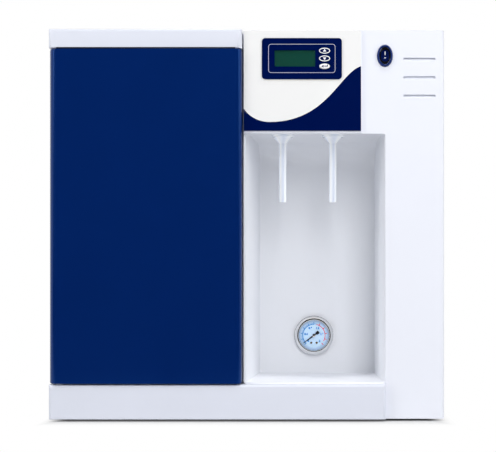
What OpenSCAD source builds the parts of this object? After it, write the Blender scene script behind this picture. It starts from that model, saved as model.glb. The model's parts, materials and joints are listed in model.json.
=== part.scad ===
// Bench-top reverse osmosis water purifier: a steel cabinet with a hinged filter door,
// a dispensing niche with two spouts and a pressure gauge, and a control panel above it.
// Millimetres, +Z up, the front faces -Y, origin on the floor under the middle of the cabinet.

/* [Cabinet] */
// Overall width
cab_w = 470; // [450:5:520]
// Overall height, feet included
cab_h = 466; // [450:2:500]
// Overall depth, from the door face to the ends of the rear ports
cab_d = 380; // [360:5:420]
// Thickness of the cabinet sheet
sheet = 1.2; // [0.8:0.1:2]
// Width of the folded edges
flange = 14; // [10:1:18]
// Distance from the door face to the front of the sheet metal
frame_setback = 30; // [28:1:40]
// How far the rear ports stand out behind the rear panel
port_reach = 12; // [10:1:16]

/* [Feet] */
// Height of the feet under the base
foot_h = 3; // [2:0.5:8]
// Radius of a foot
foot_r = 9; // [7:0.5:14]
// Distance of the feet from the cabinet's edges
foot_inset = 34; // [28:1:60]
// Radius of the neck that holds a foot in the base
foot_neck_r = 3; // [2:0.5:4]

/* [Front trim] */
// Height of the strip above the door
rail_h = 23; // [18:1:30]
// Height of the plinth
plinth_h = 41.3; // [36:0.1:50]
// How far strip and plinth stand behind the door face
trim_setback = 2; // [0:0.5:5]
// Wall of the moulded trim
trim_wall = 2.5; // [2:0.1:3.5]
// Edge radius at the right end of the strip
rail_edge_r = 6; // [3:0.5:8]
// Edge radius of the plinth
plinth_edge_r = 4; // [2:0.5:6]
// Fine edge radius of the trim
fine_r = 1.5; // [0.5:0.1:2]

/* [Door] */
// Door width
door_w = 228; // [215:1:240]
// Door thickness
door_t = 22; // [18:1:24]
// Gap above and below the door
door_gap = 1.2; // [0.6:0.1:2]
// Gap between the door and the cabinet's left side
door_side_gap = 1; // [0:0.5:3]
// Gap between the door and the control panel
block_gap = 1.4; // [1:0.1:5]
// Radius of the door's free edge
door_edge_r = 8; // [4:0.5:8]
// Radius of the door's outline corners
door_corner_r = 3; // [1:0.5:6]
// Wall of the door skin
door_wall = 2; // [1.5:0.1:3]
// Width of the rim round the door liner
door_rim = 14; // [12:1:20]
// Thickness of the door liner
liner_t = 1.5; // [1:0.1:2]
// Radius of the hinge pins
hinge_pin_r = 2.5; // [2:0.1:3]
// Length of a hinge pin in the door
hinge_engage = 12; // [8:1:20]
// Radius of the hinge bosses
hinge_boss_r = 6; // [5:0.5:7]
// Depth of the hinge bosses in the trim
hinge_seat = 12; // [8:1:16]

/* [Column cover] */
// Width of the right-hand column
column_w = 70.5; // [64:0.5:80]
// Distance from the door face to the column's face
column_setback = 12; // [8:1:16]
// Radius of the column's outer edge
column_edge_r = 5; // [2:0.5:6]
// Radius of the cover's corner over the niche
niche_corner_r = 3; // [1:0.5:5]
// Length of a vent slot
slot_w = 38; // [25:1:45]
// Height of a vent slot
slot_h = 3.6; // [2:0.1:5]
// Angle at which a vent slot rises inwards
slot_rise = 45; // [20:1:50]
// Distance between vent slots
slot_pitch = 22; // [12:1:30]
// Number of vent slots
slot_count = 3; // [1:1:6]
// Distance of the slots from the cabinet's right side
slot_inset = 11; // [8:1:15]
// Distance from the top to the first slot
slot_drop = 34.5; // [25:0.1:50]

/* [Control panel] */
// Distance from the control panel's right edge to the niche's right edge
panel_step = 28.8; // [22:0.1:36]
// Height of the control panel
panel_h = 120.8; // [110:0.1:130]
// How far the control panel stands in front of the column
panel_proud = 3; // [2:0.5:5]
// Thickness of the control panel's face
panel_t = 3; // [2.5:0.1:4]
// Height of the lip under the control panel
lip_h = 2.4; // [1:0.1:5]
// How far the lip stands in front of the column
lip_proud = 1.5; // [0.5:0.1:2]
// Thickness of the printed film
film_t = 0.3; // [0.2:0.05:0.5]
// Distance from the film to the panel's edges
film_inset = 1.5; // [1.5:0.1:4]

/* [Display] */
// Distance from the panel's right edge to the bezel
display_right = 23.3; // [16:0.1:28]
// Height of the display bezel
display_h = 48.7; // [42:0.1:56]
// Corner radius of the display bezel
display_r = 4; // [2:0.5:8]
// How far the display bezel stands in front of the panel
display_proud = 1.6; // [1:0.1:3]
// Distance from the panel's left edge to the bezel
display_left = 22; // [12:0.5:26]
// Distance from the top to the bezel
display_drop = 10.2; // [6:0.1:20]
// Distance from the bezel's right edge to the LCD window
lcd_right = 31.6; // [31:0.1:36]
// Height of the LCD window
lcd_h = 19.4; // [15:0.1:24]
// Distance from the bezel's left edge to the LCD window
lcd_left = 15.1; // [12:0.1:17]
// Distance from the bezel's top edge to the LCD window
lcd_drop = 14.4; // [10:0.1:18]
// Thickness of the LCD window
window_t = 1; // [0.6:0.1:1]
// Rim of the LCD module round its window
lcd_rim = 3; // [2:0.5:3.5]
// Thickness of the LCD module
lcd_t = 6; // [4:0.5:6.5]

/* [Keys] */
// Width of a key
key_w = 13.2; // [10:0.1:14]
// Height of a key
key_h = 7.2; // [5:0.1:7.6]
// Distance between keys
key_pitch = 9.2; // [9:0.1:10.5]
// Distance from the bezel's right edge to the keys' centres
key_right = 20.5; // [17:0.1:22]
// How far a key stands in front of the bezel
key_proud = 1; // [0.6:0.1:2]
// Travel of a key
key_travel = 0.8; // [0.4:0.1:1]
// Width of the collar that keeps a key in the bezel
key_collar = 0.8; // [0.5:0.1:0.8]

/* [Control board] */
// Distance from the panel's face to the board
board_gap = 8; // [7.5:0.5:12]
// Thickness of the board
board_t = 1.6; // [1:0.1:2.4]
// Distance from the board to the control panel's sides
board_side = 14.6; // [8:0.1:18]
// Height of the board
board_h = 70; // [64:1:76]
// Radius of a board standoff
standoff_r = 3.5; // [2.5:0.5:4]

/* [Power switch] */
// Width of the oval switch bezel
switch_w = 19.3; // [18:0.1:22]
// Height of the oval switch bezel
switch_h = 26.8; // [25:0.1:30]
// Width of the black switch frame
switch_frame_w = 13.6; // [13:0.1:15]
// Height of the black switch frame
switch_frame_h = 19.6; // [19:0.1:21]
// Width of the rocker opening
rocker_w = 10.2; // [9:0.1:10.4]
// Height of the rocker opening
rocker_h = 14.6; // [13:0.1:15]
// Tilt of the rocker to either side
rocker_tilt = 8; // [4:1:9]
// How far the switch bezel stands in front of the column
switch_proud = 3; // [2:0.5:5]
// Distance from the top to the switch's centre
switch_drop = 30.4; // [26:0.1:40]
// Distance from the cabinet's right side to the switch's centre
switch_right = 71.1; // [60:0.1:76]
// Depth of the switch body behind the column's face
switch_body_d = 24; // [18:1:30]

/* [Niche] */
// Depth of the niche behind the column's face
niche_depth = 150; // [120:1:170]
// Wall of the niche liner
niche_wall = 2; // [1.5:0.1:3]
// How far the left wall leans in towards the back
draft_left = 12; // [4:0.5:16]
// How far the right wall leans in towards the back
draft_right = 2.5; // [1:0.5:8]
// Radius of the cove between ceiling and back wall
cove_r = 35; // [15:1:45]
// Height of the niche ceiling above the lip
ceiling_rise = 4.7; // [3:0.1:12]

/* [Spouts] */
// Distance from the niche's middle to the spouts' middle, to the left
spout_shift = 8.5; // [0:0.1:12]
// Distance between the spouts
spout_pitch = 62; // [50:1:75]
// Distance of the spouts behind the column's face
spout_back = 50; // [40:1:60]
// Radius of the spout tube
spout_r = 4.5; // [4:0.1:5.5]
// Radius of the spout's bore
spout_bore_r = 3.2; // [2:0.1:3.4]
// Radius of the spout's flange
spout_flange_r = 13.2; // [11:0.1:16]
// Thickness of the spout's flange
spout_flange_t = 2.5; // [1.5:0.1:4]
// Height of the cone below the flange
spout_cone_h = 8.6; // [6:0.1:14]
// Radius of the cone under the flange
spout_cone_r = 10.5; // [7:0.1:10.5]
// Length of the spout below the niche ceiling
spout_len = 82.7; // [60:0.1:110]
// Radius of the spout's threaded shank
shank_r = 6; // [5.6:0.1:7]
// Height of the shank above the niche ceiling
shank_h = 15; // [12:1:20]

/* [Gauge] */
// Distance from the niche's middle to the gauge, to the right
gauge_shift = 0.5; // [0:0.1:20]
// Height of the gauge above the plinth
gauge_up = 51.7; // [40:0.1:90]
// Outer radius of the gauge bezel
gauge_r = 25.5; // [24:0.5:30]
// Depth of the gauge bezel in front of the wall
gauge_bezel_d = 8; // [7:0.5:10]
// Radius of the gauge case
gauge_case_r = 21.5; // [20:0.1:22]
// Depth of the gauge case behind the wall
gauge_case_d = 32; // [24:1:40]
// Length of the pointer from the spindle to its tip
pointer_len = 17.5; // [11:0.5:18.5]
// Radius of the pointer's spindle
spindle_r = 1.2; // [1:0.1:1.5]
// Sweep of the pointer over the scale
gauge_sweep = 270; // [240:5:280]
// Angle of the pointer above the scale's zero
pointer_start = 9; // [0:1:30]

/* [Filters] */
// Radius of a filter cartridge
cartridge_r = 31; // [26:0.5:33]
// Length of a cartridge's body
cartridge_len = 262; // [220:1:280]
// Distance between cartridges
cartridge_pitch = 71; // [70:0.5:73]
// Distance of the cartridges behind the sheet metal's front
cartridge_back = 52; // [46:1:60]
// Distance from the top to the filter bracket
bracket_drop = 64; // [50:1:72]
// Depth of the filter bracket
bracket_d = 80; // [74:1:90]
// Height of a filter head
head_h = 30; // [26:1:36]
// Radius of a cartridge's neck
neck_r = 19; // [14:0.5:22]
// Length of a cartridge's neck
neck_len = 14; // [10:1:18]

/* [Membrane] */
// Radius of the membrane housing
membrane_r = 31; // [26:0.5:36]
// Length of the membrane housing
membrane_len = 290; // [250:1:300]
// Height of the membrane housing above the base
membrane_up = 60; // [40:1:80]
// Distance of the membrane behind the sheet metal's front
membrane_back = 190; // [160:1:220]
// Wall of the clips that hold the membrane
clip_t = 3; // [2:0.5:4]
// Height of a clip
clip_h = 16; // [12:1:24]

/* [Polishing column] */
// Radius of the polishing column
polish_r = 36; // [30:0.5:40]
// Length of the polishing column's tube
polish_len = 300; // [250:1:320]
// Distance of the column behind the sheet metal's front
polish_back = 210; // [180:1:240]
// Height of the column's end caps
polish_cap_h = 22; // [16:1:30]

/* [Pump] */
// Radius of the pump motor
motor_r = 29; // [24:0.5:34]
// Length of the pump motor
motor_len = 78; // [60:1:90]
// Width and height of the pump head
pump_head_w = 68; // [56:1:74]
// Length of the pump head
pump_head_len = 42; // [34:1:52]
// Height of the pump's rubber mounts
pump_mount_h = 12; // [8:1:18]
// Distance of the pump behind the niche
pump_back = 95; // [60:1:110]
// Distance of the pump head from the partition
pump_left = 22; // [15:1:30]

/* [Power supply] */
// Thickness of the power supply, away from the cabinet's right side
supply_t = 40; // [30:1:50]
// Length of the power supply
supply_len = 130; // [100:1:140]
// Height of the power supply
supply_h = 98; // [80:1:110]
// Distance of the power supply from the rear panel
supply_rear = 45; // [40:1:60]
// Height of the power supply's lower edge above the base
supply_up = 150; // [140:1:200]

/* [Valves] */
// Width of a dispensing valve's body
valve_w = 24; // [20:1:28]
// Distance of the dispensing valves behind the spouts
valve_back = 42; // [34:1:50]
// Height of a valve's coil
coil_h = 30; // [24:1:40]
// Radius of a valve's coil
coil_r = 13; // [11:0.5:15]

/* [Rear ports] */
// Outside radius of the tube that a port takes
tube_r = 3.2; // [2:0.1:4]
// Depth to which a tube goes into a port, from the rear panel
port_depth = 14; // [10:1:18]
// Radius of a port's barrel
port_r = 7; // [6.5:0.1:8.5]
// Width across flats of the port nuts
port_hex = 20; // [18:0.5:24]
// Distance between ports
port_pitch = 40; // [30:1:50]
// Height of the ports above the base
port_up = 62; // [50:1:90]
// Distance of the first port from the cabinet's left side
port_left = 40; // [30:1:60]

/* [Mains inlet] */
// Distance of the inlet from the cabinet's right side
inlet_right = 60; // [50:1:90]
// Height of the inlet above the base
inlet_up = 92; // [75:1:120]
// Width of the inlet's flange
inlet_w = 31; // [30:0.5:36]
// Height of the inlet's flange
inlet_h = 25; // [24:0.5:30]

/* [Door catch] */
// Distance of the catches from the door's ends
catch_inset = 110; // [60:1:150]
// Height of a catch
catch_h = 30; // [20:1:40]
// Thickness of a strike plate
strike_t = 1; // [0.8:0.1:1.5]

/* [Rear panel] */
// Length of a rear vent slot
vent_w = 46; // [30:1:60]
// Height of a rear vent slot
vent_h = 4; // [3:0.5:6]
// Distance between rear vent slots
vent_pitch = 12; // [9:1:16]
// Rear vent slots in a column
vent_count = 7; // [3:1:9]
// Distance of the vents from the cabinet's right side
vent_right = 60; // [50:1:90]
// Height of the lowest vent above the base
vent_up = 300; // [280:1:330]
// Distance of the side vents from the rear
side_vent = 66; // [50:1:90]
// Radius of the cabinet screws
screw_r = 2; // [1.5:0.1:2.5]
// Distance of the outer screws from the cabinet's sides
screw_inset = 26; // [20:1:40]

/* [Hidden] */
$fn = 64;

// Clearances: pieces set side by side, running pins, pressed-in pins, cutting past a face
play = 0.3;
slip = 0.05;
press = 0.02;
past = 1;

// Colours
c_grey_white = [0.87, 0.89, 0.94];
c_white = [0.94, 0.95, 0.98];
c_blue = [0.02, 0.13, 0.36];
c_navy = [0.01, 0.06, 0.28];
c_lcd = [0.09, 0.29, 0.24];
c_black = [0.06, 0.06, 0.07];
c_steel = [0.75, 0.77, 0.8];
c_brass = [0.78, 0.62, 0.3];
c_clear = [0.9, 0.94, 0.97, 0.5];
c_board = [0.05, 0.35, 0.2];
c_rubber = [0.12, 0.12, 0.12];

// Main planes of the cabinet
x_l = -cab_w / 2;
x_r = cab_w / 2;
y_f = -cab_d / 2;
y_b = cab_d / 2;
z_b = foot_h;
z_t = cab_h;
frame_y = y_f + frame_setback;
rear_y = y_b - port_reach;
trim_y = y_f + trim_setback;
column_y = y_f + column_setback;
panel_y = column_y - panel_proud;
pan_z = z_b + sheet;
plinth_z = z_b + plinth_h;
rail_z = z_t - rail_h;
fold_z0 = pan_z + flange + past;
fold_z1 = z_t - sheet - flange - past;

// Door
door_x0 = x_l + door_side_gap;
door_x1 = door_x0 + door_w;
door_z0 = plinth_z + door_gap;
door_z1 = rail_z - door_gap;
door_back = y_f + door_t;
hinge_x = door_x0 + door_t / 2;
hinge_y = y_f + door_t / 2;
boss_floor = 3;
hinge_hold = hinge_seat - boss_floor;
opening_x0 = hinge_x + hinge_boss_r + 2 * past;
opening_x1 = door_x1 - door_rim;
opening_z0 = door_z0 + door_rim;
opening_z1 = door_z1 - door_rim;

// Partition, control panel and column
part_x0 = door_x1;
part_x1 = part_x0 + sheet;
column_x = x_r - column_w;
panel_x0 = door_x1 + block_gap;
panel_x1 = column_x - panel_step;
panel_w = panel_x1 - panel_x0;
panel_z = z_t - panel_h;
lip_z = panel_z - lip_h;
switch_x = x_r - switch_right;
switch_z = z_t - switch_drop;

// Niche, measured inside
niche_y0 = column_y + trim_wall;
niche_y1 = column_y + niche_depth;
niche_x0 = part_x1 + play + niche_wall;
niche_x1 = column_x - play;
niche_z0 = plinth_z + niche_wall;
niche_z1 = lip_z + ceiling_rise;
ceiling_z = niche_z1 + niche_wall;
return_z = ceiling_z + play;

// Display, keys and board
display_x0 = panel_x0 + display_left;
display_x1 = panel_x1 - display_right;
display_z1 = z_t - display_drop;
display_z0 = display_z1 - display_h;
display_y = panel_y - display_proud;
display_hold = 6;
lcd_x0 = display_x0 + lcd_left;
lcd_x1 = display_x1 - lcd_right;
lcd_w = lcd_x1 - lcd_x0;
lcd_z1 = display_z1 - lcd_drop;
lcd_z0 = lcd_z1 - lcd_h;
key_x = display_x1 - key_right;
key_z = (display_z0 + display_z1) / 2;
key_stem = 2.5;
key_stem_y = panel_y + key_stem;
tact_y = key_stem_y + key_travel + play;
board_y = panel_y + board_gap;
board_x = (panel_x0 + panel_x1) / 2;
board_w = panel_w - 2 * board_side;
board_margin = 4;
board_z = z_t - trim_wall - board_margin - board_h / 2;
board_hole = 5;

// Spouts and gauge
niche_x = (niche_x0 + niche_x1) / 2;
spout_x = [for (side = [-1, 1]) niche_x - spout_shift + side * spout_pitch / 2];
spout_y = column_y + spout_back;
gauge_x = niche_x + gauge_shift;
gauge_z = plinth_z + gauge_up;
gauge_front = niche_y1 - gauge_bezel_d;
gauge_lip = 1.2;
glass_t = 1.5;
dial_t = 0.8;
case_wall = 1.5;
dial_back = 2.8;
pointer_gap = 0.8;
dial_y = niche_y1 - dial_back;
pointer_y = dial_y - pointer_gap;
pointer_t = 0.6;
pointer_rest = pointer_start - gauge_sweep / 2;

// Filter bay
bay_x = (x_l + sheet + part_x0) / 2;
cartridge_x = [for (i = [-1 : 1]) bay_x + i * cartridge_pitch];
cartridge_y = frame_y + cartridge_back;
bracket_z = z_t - bracket_drop;
bracket_t = 2;
port_stub = 8;
head_port_up = 20.4;
head_z = bracket_z - head_h;
head_port_z = head_z + head_port_up;
head_port_r = 7;
head_reach = cartridge_r + port_stub;
cartridge_z = head_z - play;
clip_base = 4;
membrane_x = part_x0 - clip_base - membrane_r;
membrane_y = frame_y + membrane_back;
membrane_z = pan_z + membrane_up;
clip_inset = [60, 80];
clip_z = [membrane_z + clip_inset[0], membrane_z + membrane_len - clip_inset[1]];
polish_x = x_l + sheet + clip_base + clip_t + polish_r;
polish_y = frame_y + polish_back;
polish_z = pan_z + polish_cap_h;

// Right bay and rear
pump_x = part_x1 + pump_left;
pump_y = niche_y1 + pump_back;
pump_z = pan_z + pump_mount_h + pump_head_w / 2;
port_x = [for (i = [0 : 2]) x_l + port_left + i * port_pitch];
port_z = pan_z + port_up;
port_inner = 26;
inlet_x = x_r - inlet_right;
inlet_z = pan_z + inlet_up;
inlet_rim = 2;
elbow_r = 5.4;
screw_x = [x_l + screw_inset, 0, x_r - screw_inset];
screw_z = [pan_z + flange / 2, z_t - sheet - flange / 2];

// A box between two corners
module span(a, b) {
    translate(a)
        cube(b - a);
}

// A flat outline pushed along an axis, from one place to another
module along_x(a, b) {
    translate([a, 0, 0])
        rotate([90, 0, 90])
            linear_extrude(b - a)
                children();
}

module along_y(a, b) {
    translate([0, b, 0])
        rotate([90, 0, 0])
            linear_extrude(b - a)
                children();
}

module along_z(a, b) {
    translate([0, 0, a])
        linear_extrude(b - a)
            children();
}

// A profile of radius and height turned about an axis along Y, through (x, z)
module turned_y(x, z) {
    translate([x, 0, z])
        rotate([-90, 0, 0])
            rotate_extrude()
                children();
}

// A profile of radius and height turned about an upright axis through (x, y)
module turned_z(x, y) {
    translate([x, y, 0])
        rotate_extrude()
            children();
}

// A convex outline with a true arc of radius r[i] at each corner p[i]
function unit(v) = v / norm(v);
function back_way(p, i) = unit(p[(i + len(p) - 1) % len(p)] - p[i]);
function on_way(p, i) = unit(p[(i + 1) % len(p)] - p[i]);
function half_angle(p, i) = acos(back_way(p, i) * on_way(p, i)) / 2;
function setback(p, r, i) = r / tan(half_angle(p, i));
function arc_centre(p, r, i) =
    p[i] + unit(back_way(p, i) + on_way(p, i)) * r / sin(half_angle(p, i));
function corner(p, r, i) = r == 0 ? [p[i]] :
    [p[i] + back_way(p, i) * setback(p, r, i), p[i] + on_way(p, i) * setback(p, r, i)];

module soft_polygon(p, r) {
    polygon([for (i = [0 : len(p) - 1]) each corner(p, r[i], i)]);
    for (i = [0 : len(p) - 1])
        if (r[i] > 0)
            translate(arc_centre(p, r[i], i))
                circle(r = r[i]);
}

// A rectangle between two corners, with one radius for each corner, counter-clockwise from the first
module soft_rect(a, b, r) {
    soft_polygon([a, [b.x, a.y], b, [a.x, b.y]], r);
}

// A slot with round ends, lying along its first axis
module slot(w, h) {
    square([w - h, h], center = true);
    for (side = [-1, 1])
        translate([side * (w - h) / 2, 0])
            circle(d = h);
}

// The same slot standing up, w across and h up
module upright_slot(w, h) {
    rotate(90)
        slot(h, w);
}

// An oval of four arcs, w across and h up, h the longer; grow sets it out all round
module oval(w, h, grow = 0) {
    end_r = w * 0.36;
    end_c = h / 2 - end_r;
    inset = w / 2 - end_r;
    side_c = (end_c * end_c - inset * inset) / (2 * inset);
    side_r = side_c + w / 2 + grow;
    meet = atan2(end_c, side_c);
    for (end = [-1, 1])
        translate([0, end * end_c])
            circle(r = end_r + grow);
    intersection() {
        translate([-side_c, 0])
            circle(r = side_r);
        translate([side_c, 0])
            circle(r = side_r);
        square([2 * w, 2 * side_r * sin(meet)], center = true);
    }
}

module at_feet() {
    for (x = [x_l + foot_inset, x_r - foot_inset], y = [frame_y + foot_inset, rear_y - foot_inset])
        translate([x, y, 0])
            children();
}

module at_screws(rows) {
    for (x = screw_x, z = rows)
        translate([x, 0, z])
            children();
}

module at_catches() {
    for (z = [door_z0 + catch_inset, door_z1 - catch_inset])
        translate([0, 0, z])
            children();
}

module at_board_holes() {
    for (x = [-1, 1], z = [-1, 1])
        translate([board_x + x * (board_w / 2 - board_hole), 0, board_z + z * (board_h / 2 - board_hole)])
            children();
}

// Cabinet
module base_pan() {
    color(c_grey_white)
        difference() {
            union() {
                span([x_l + sheet, frame_y, z_b], [x_r - sheet, rear_y - sheet, pan_z]);
                for (side = [0, 1])
                    mirror([side, 0, 0])
                        span([x_l + sheet, frame_y + 2 * sheet, z_b],
                             [x_l + 2 * sheet, rear_y - 3 * sheet, pan_z + flange]);
                for (y = [frame_y, rear_y - 2 * sheet])
                    span([x_l + 3 * sheet, y, z_b], [x_r - 3 * sheet, y + sheet, pan_z + flange]);
            }
            at_feet()
                along_z(z_b - past, pan_z + past)
                    circle(r = foot_neck_r + press);
            at_screws([screw_z[0]])
                along_y(rear_y - 3 * sheet, rear_y)
                    circle(r = screw_r + press);
        }
}

module rubber_feet() {
    head = 1.5;
    taper = 1;
    color(c_rubber)
        at_feet()
            rotate_extrude()
                polygon([
                    [0, 0], [foot_r - taper, 0], [foot_r, taper], [foot_r, foot_h],
                    [foot_neck_r, foot_h], [foot_neck_r, pan_z], [foot_neck_r + head, pan_z],
                    [foot_neck_r, pan_z + 2 * head], [0, pan_z + 2 * head]
                ]);
}

module side_panel() {
    difference() {
        span([x_l, frame_y, z_b], [x_l + sheet, rear_y, z_t - sheet]);
        along_x(x_l - past, x_l + sheet + past)
            for (i = [0 : vent_count - 1])
                translate([rear_y - side_vent, pan_z + vent_up + i * vent_pitch])
                    slot(vent_w, vent_h);
    }
    span([x_l, frame_y, fold_z0], [x_l + flange, frame_y + sheet, fold_z1]);
}

module left_side_panel() {
    color(c_grey_white)
        side_panel();
}

module right_side_panel() {
    color(c_grey_white)
        mirror([1, 0, 0])
            side_panel();
}

module top_cover() {
    color(c_grey_white)
        difference() {
            union() {
                span([x_l, frame_y, z_t - sheet], [x_r, rear_y, z_t]);
                for (y = [frame_y, rear_y - 2 * sheet])
                    span([x_l + 3 * sheet, y, z_t - sheet - flange], [x_r - 3 * sheet, y + sheet, z_t]);
            }
            at_screws([screw_z[1]])
                along_y(rear_y - 3 * sheet, rear_y)
                    circle(r = screw_r + press);
        }
}

module rear_panel() {
    color(c_grey_white)
        along_y(rear_y - sheet, rear_y)
            difference() {
                translate([x_l + sheet, z_b])
                    square([cab_w - 2 * sheet, z_t - sheet - z_b]);
                for (x = port_x)
                    translate([x, port_z])
                        circle(r = port_r + press);
                translate([inlet_x, inlet_z])
                    square([inlet_w - 2 * inlet_rim + play, inlet_h - 2 * inlet_rim + play], center = true);
                for (i = [0 : vent_count - 1], side = [0, 1])
                    translate([x_r - vent_right - side * (vent_w + vent_pitch),
                               pan_z + vent_up + i * vent_pitch])
                        slot(vent_w, vent_h);
                for (x = screw_x, z = screw_z)
                    translate([x, z])
                        circle(r = screw_r + press);
            }
}

module rear_screws() {
    head_r = 1.9 * screw_r;
    head_t = 1.1 * screw_r;
    tip = rear_y - 2 * sheet - 4;
    color(c_steel)
        for (x = screw_x, z = screw_z)
            turned_y(x, z) {
                translate([0, tip])
                    square([screw_r, rear_y - tip]);
                translate([0, rear_y])
                    soft_rect([0, 0], [head_r, head_t], [0, 0, head_t / 2, 0]);
            }
}

module partition_wall() {
    color(c_grey_white) {
        span([part_x0, frame_y + sheet, pan_z], [part_x1, rear_y - 2 * sheet, z_t - sheet]);
        span([part_x0 - flange, frame_y, fold_z0], [part_x1, frame_y + sheet, fold_z1]);
    }
}

// Hinge boss in the trim, with the pin's hole; up is 1 above the face, -1 below it
module trim_boss(z, up) {
    translate([hinge_x, hinge_y, z])
        mirror([0, 0, up > 0 ? 0 : 1])
            translate([0, 0, trim_wall / 2])
                cylinder(r = hinge_boss_r, h = hinge_seat - trim_wall / 2);
}

module pin_hole(z, up) {
    translate([hinge_x, hinge_y, z])
        mirror([0, 0, up > 0 ? 0 : 1])
            translate([0, 0, -past])
                cylinder(r = hinge_pin_r + press, h = hinge_hold + past);
}

module front_top_rail() {
    color(c_grey_white)
        difference() {
            union() {
                difference() {
                    intersection() {
                        along_z(rail_z, z_t)
                            soft_rect([x_l, trim_y], [door_x1, frame_y], [2 * fine_r, rail_edge_r, 0, 0]);
                        along_x(x_l - past, door_x1 + past)
                            soft_rect([trim_y, rail_z], [frame_y, z_t], [fine_r, 0, 0, 2 * fine_r]);
                    }
                    span([x_l + trim_wall, trim_y + trim_wall, rail_z + trim_wall],
                         [door_x1 - trim_wall, frame_y + past, z_t - trim_wall]);
                }
                trim_boss(rail_z, 1);
            }
            pin_hole(rail_z, 1);
        }
}

module front_plinth() {
    rib_pitch = 60;
    rib_t = 2;
    color(c_grey_white)
        difference() {
            union() {
                difference() {
                    intersection() {
                        along_z(z_b, plinth_z)
                            soft_rect([x_l, trim_y], [column_x, frame_y], [2 * fine_r, plinth_edge_r, 0, 0]);
                        along_x(x_l - past, column_x + past)
                            soft_rect([trim_y, z_b], [frame_y, plinth_z], [fine_r, 0, 0, plinth_edge_r]);
                    }
                    span([x_l + trim_wall, trim_y + trim_wall, z_b + trim_wall],
                         [column_x - trim_wall, frame_y + past, plinth_z - trim_wall]);
                }
                for (x = [x_l + rib_pitch : rib_pitch : column_x - rib_pitch / 2])
                    span([x, trim_y + trim_wall / 2, z_b + trim_wall / 2],
                         [x + rib_t, frame_y, plinth_z - trim_wall / 2]);
                trim_boss(plinth_z, -1);
            }
            pin_hole(plinth_z, -1);
        }
}

module right_column_cover() {
    corner_r = niche_corner_r;
    color(c_white)
        difference() {
            intersection() {
                along_y(column_y, frame_y) {
                    translate([column_x, z_b])
                        square([column_w, z_t - z_b]);
                    translate([panel_x1, lip_z])
                        square([column_x - panel_x1 + past, z_t - lip_z]);
                    translate([column_x, lip_z])
                        difference() {
                            translate([-corner_r, -corner_r])
                                square([corner_r + past, corner_r + past]);
                            translate([-corner_r, -corner_r])
                                circle(r = corner_r);
                        }
                }
                along_z(z_b, z_t)
                    soft_rect([panel_x1, column_y], [x_r, frame_y], [0, column_edge_r, 0, 0]);
            }
            span([column_x - corner_r - past, column_y + trim_wall, z_b + trim_wall],
                 [x_r - trim_wall, frame_y + past, z_t - trim_wall]);
            span([panel_x1 + trim_wall, column_y + trim_wall, lip_z - past],
                 [column_x, frame_y + past, z_t - trim_wall]);
            span([panel_x1 - past, column_y + trim_wall, lip_z - past],
                 [column_x, frame_y + past, return_z]);
            for (i = [0 : slot_count - 1])
                translate([x_r - slot_inset - slot_w / 2, column_y, z_t - slot_drop - i * slot_pitch])
                    rotate([slot_rise, 0, 0])
                        cube([slot_w, 5 * trim_wall, slot_h * cos(slot_rise)], center = true);
            along_y(column_y - past, column_y + trim_wall + past)
                translate([switch_x, switch_z])
                    oval(switch_frame_w, switch_frame_h, press);
        }
}

// Door
module door_plan(inset) {
    soft_rect([door_x0 + inset, y_f + inset], [door_x1 - inset, door_back - inset],
              [door_t / 2 - inset, door_edge_r - inset, fine_r / 2, door_t / 2 - inset]);
}

module door_skin() {
    boss_h = hinge_engage + 2 * past;
    color(c_blue)
        difference() {
            union() {
                difference() {
                    intersection() {
                        along_z(door_z0, door_z1)
                            door_plan(0);
                        along_y(y_f - past, door_back + past)
                            soft_rect([door_x0, door_z0], [door_x1, door_z1], door_corner_r * [1, 1, 1, 1]);
                    }
                    along_z(door_z0 + door_wall, door_z1 - door_wall)
                        door_plan(door_wall);
                    span([opening_x0, door_back - 2 * door_wall, opening_z0],
                         [opening_x1, door_back + past, opening_z1]);
                }
                for (z = [door_z0 + door_wall / 2, door_z1 - door_wall / 2 - boss_h])
                    translate([hinge_x, hinge_y, z])
                        cylinder(r = hinge_boss_r, h = boss_h);
            }
            for (z = [door_z0 - past, door_z1 - hinge_engage - play])
                translate([hinge_x, hinge_y, z])
                    cylinder(r = hinge_pin_r + slip, h = hinge_engage + play + past);
        }
}

module door_liner() {
    lap = 1;
    dish = 10;
    sunk = 0.5;
    seat_y = door_back - door_wall;
    color(c_grey_white)
        difference() {
            union() {
                span([opening_x0 - lap, seat_y - liner_t, opening_z0 - lap],
                     [opening_x1 + lap, seat_y, opening_z1 + lap]);
                along_y(seat_y - liner_t, door_back - sunk)
                    soft_rect([opening_x0 + play, opening_z0 + play], [opening_x1 - play, opening_z1 - play],
                              [0, 0, 0, 0]);
            }
            along_y(seat_y, door_back)
                soft_rect([opening_x0 + dish, opening_z0 + dish], [opening_x1 - dish, opening_z1 - dish],
                          dish * [1, 1, 1, 1]);
        }
}

module door_strikes() {
    inset = [1, 3];
    color(c_steel)
        at_catches()
            along_y(door_back, door_back + strike_t)
                soft_rect([opening_x1 + inset[0], -catch_h / 2], [door_x1 - inset[1], catch_h / 2],
                          fine_r * [1, 1, 1, 1]);
}

module catch_magnets() {
    inset = 2;
    color(c_black)
        at_catches()
            along_y(door_back + strike_t + play, frame_y)
                soft_rect([part_x0 - flange + inset, -catch_h / 2], [part_x0 - inset, catch_h / 2],
                          fine_r * [1, 1, 1, 1]);
}

module hinge_pins() {
    pin_len = hinge_hold + door_gap + hinge_engage;
    color(c_steel)
        for (z = [plinth_z - hinge_hold, door_z1 - hinge_engage])
            translate([hinge_x, hinge_y, z])
                cylinder(r = hinge_pin_r, h = pin_len);
}

module hinge_washers() {
    color(c_white)
        for (z = [plinth_z, rail_z - door_gap])
            translate([hinge_x, hinge_y, z + slip])
                difference() {
                    cylinder(r = hinge_boss_r, h = door_gap - 2 * slip);
                    translate([0, 0, -past])
                        cylinder(r = hinge_pin_r + slip, h = door_gap + 2 * past);
                }
}

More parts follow.
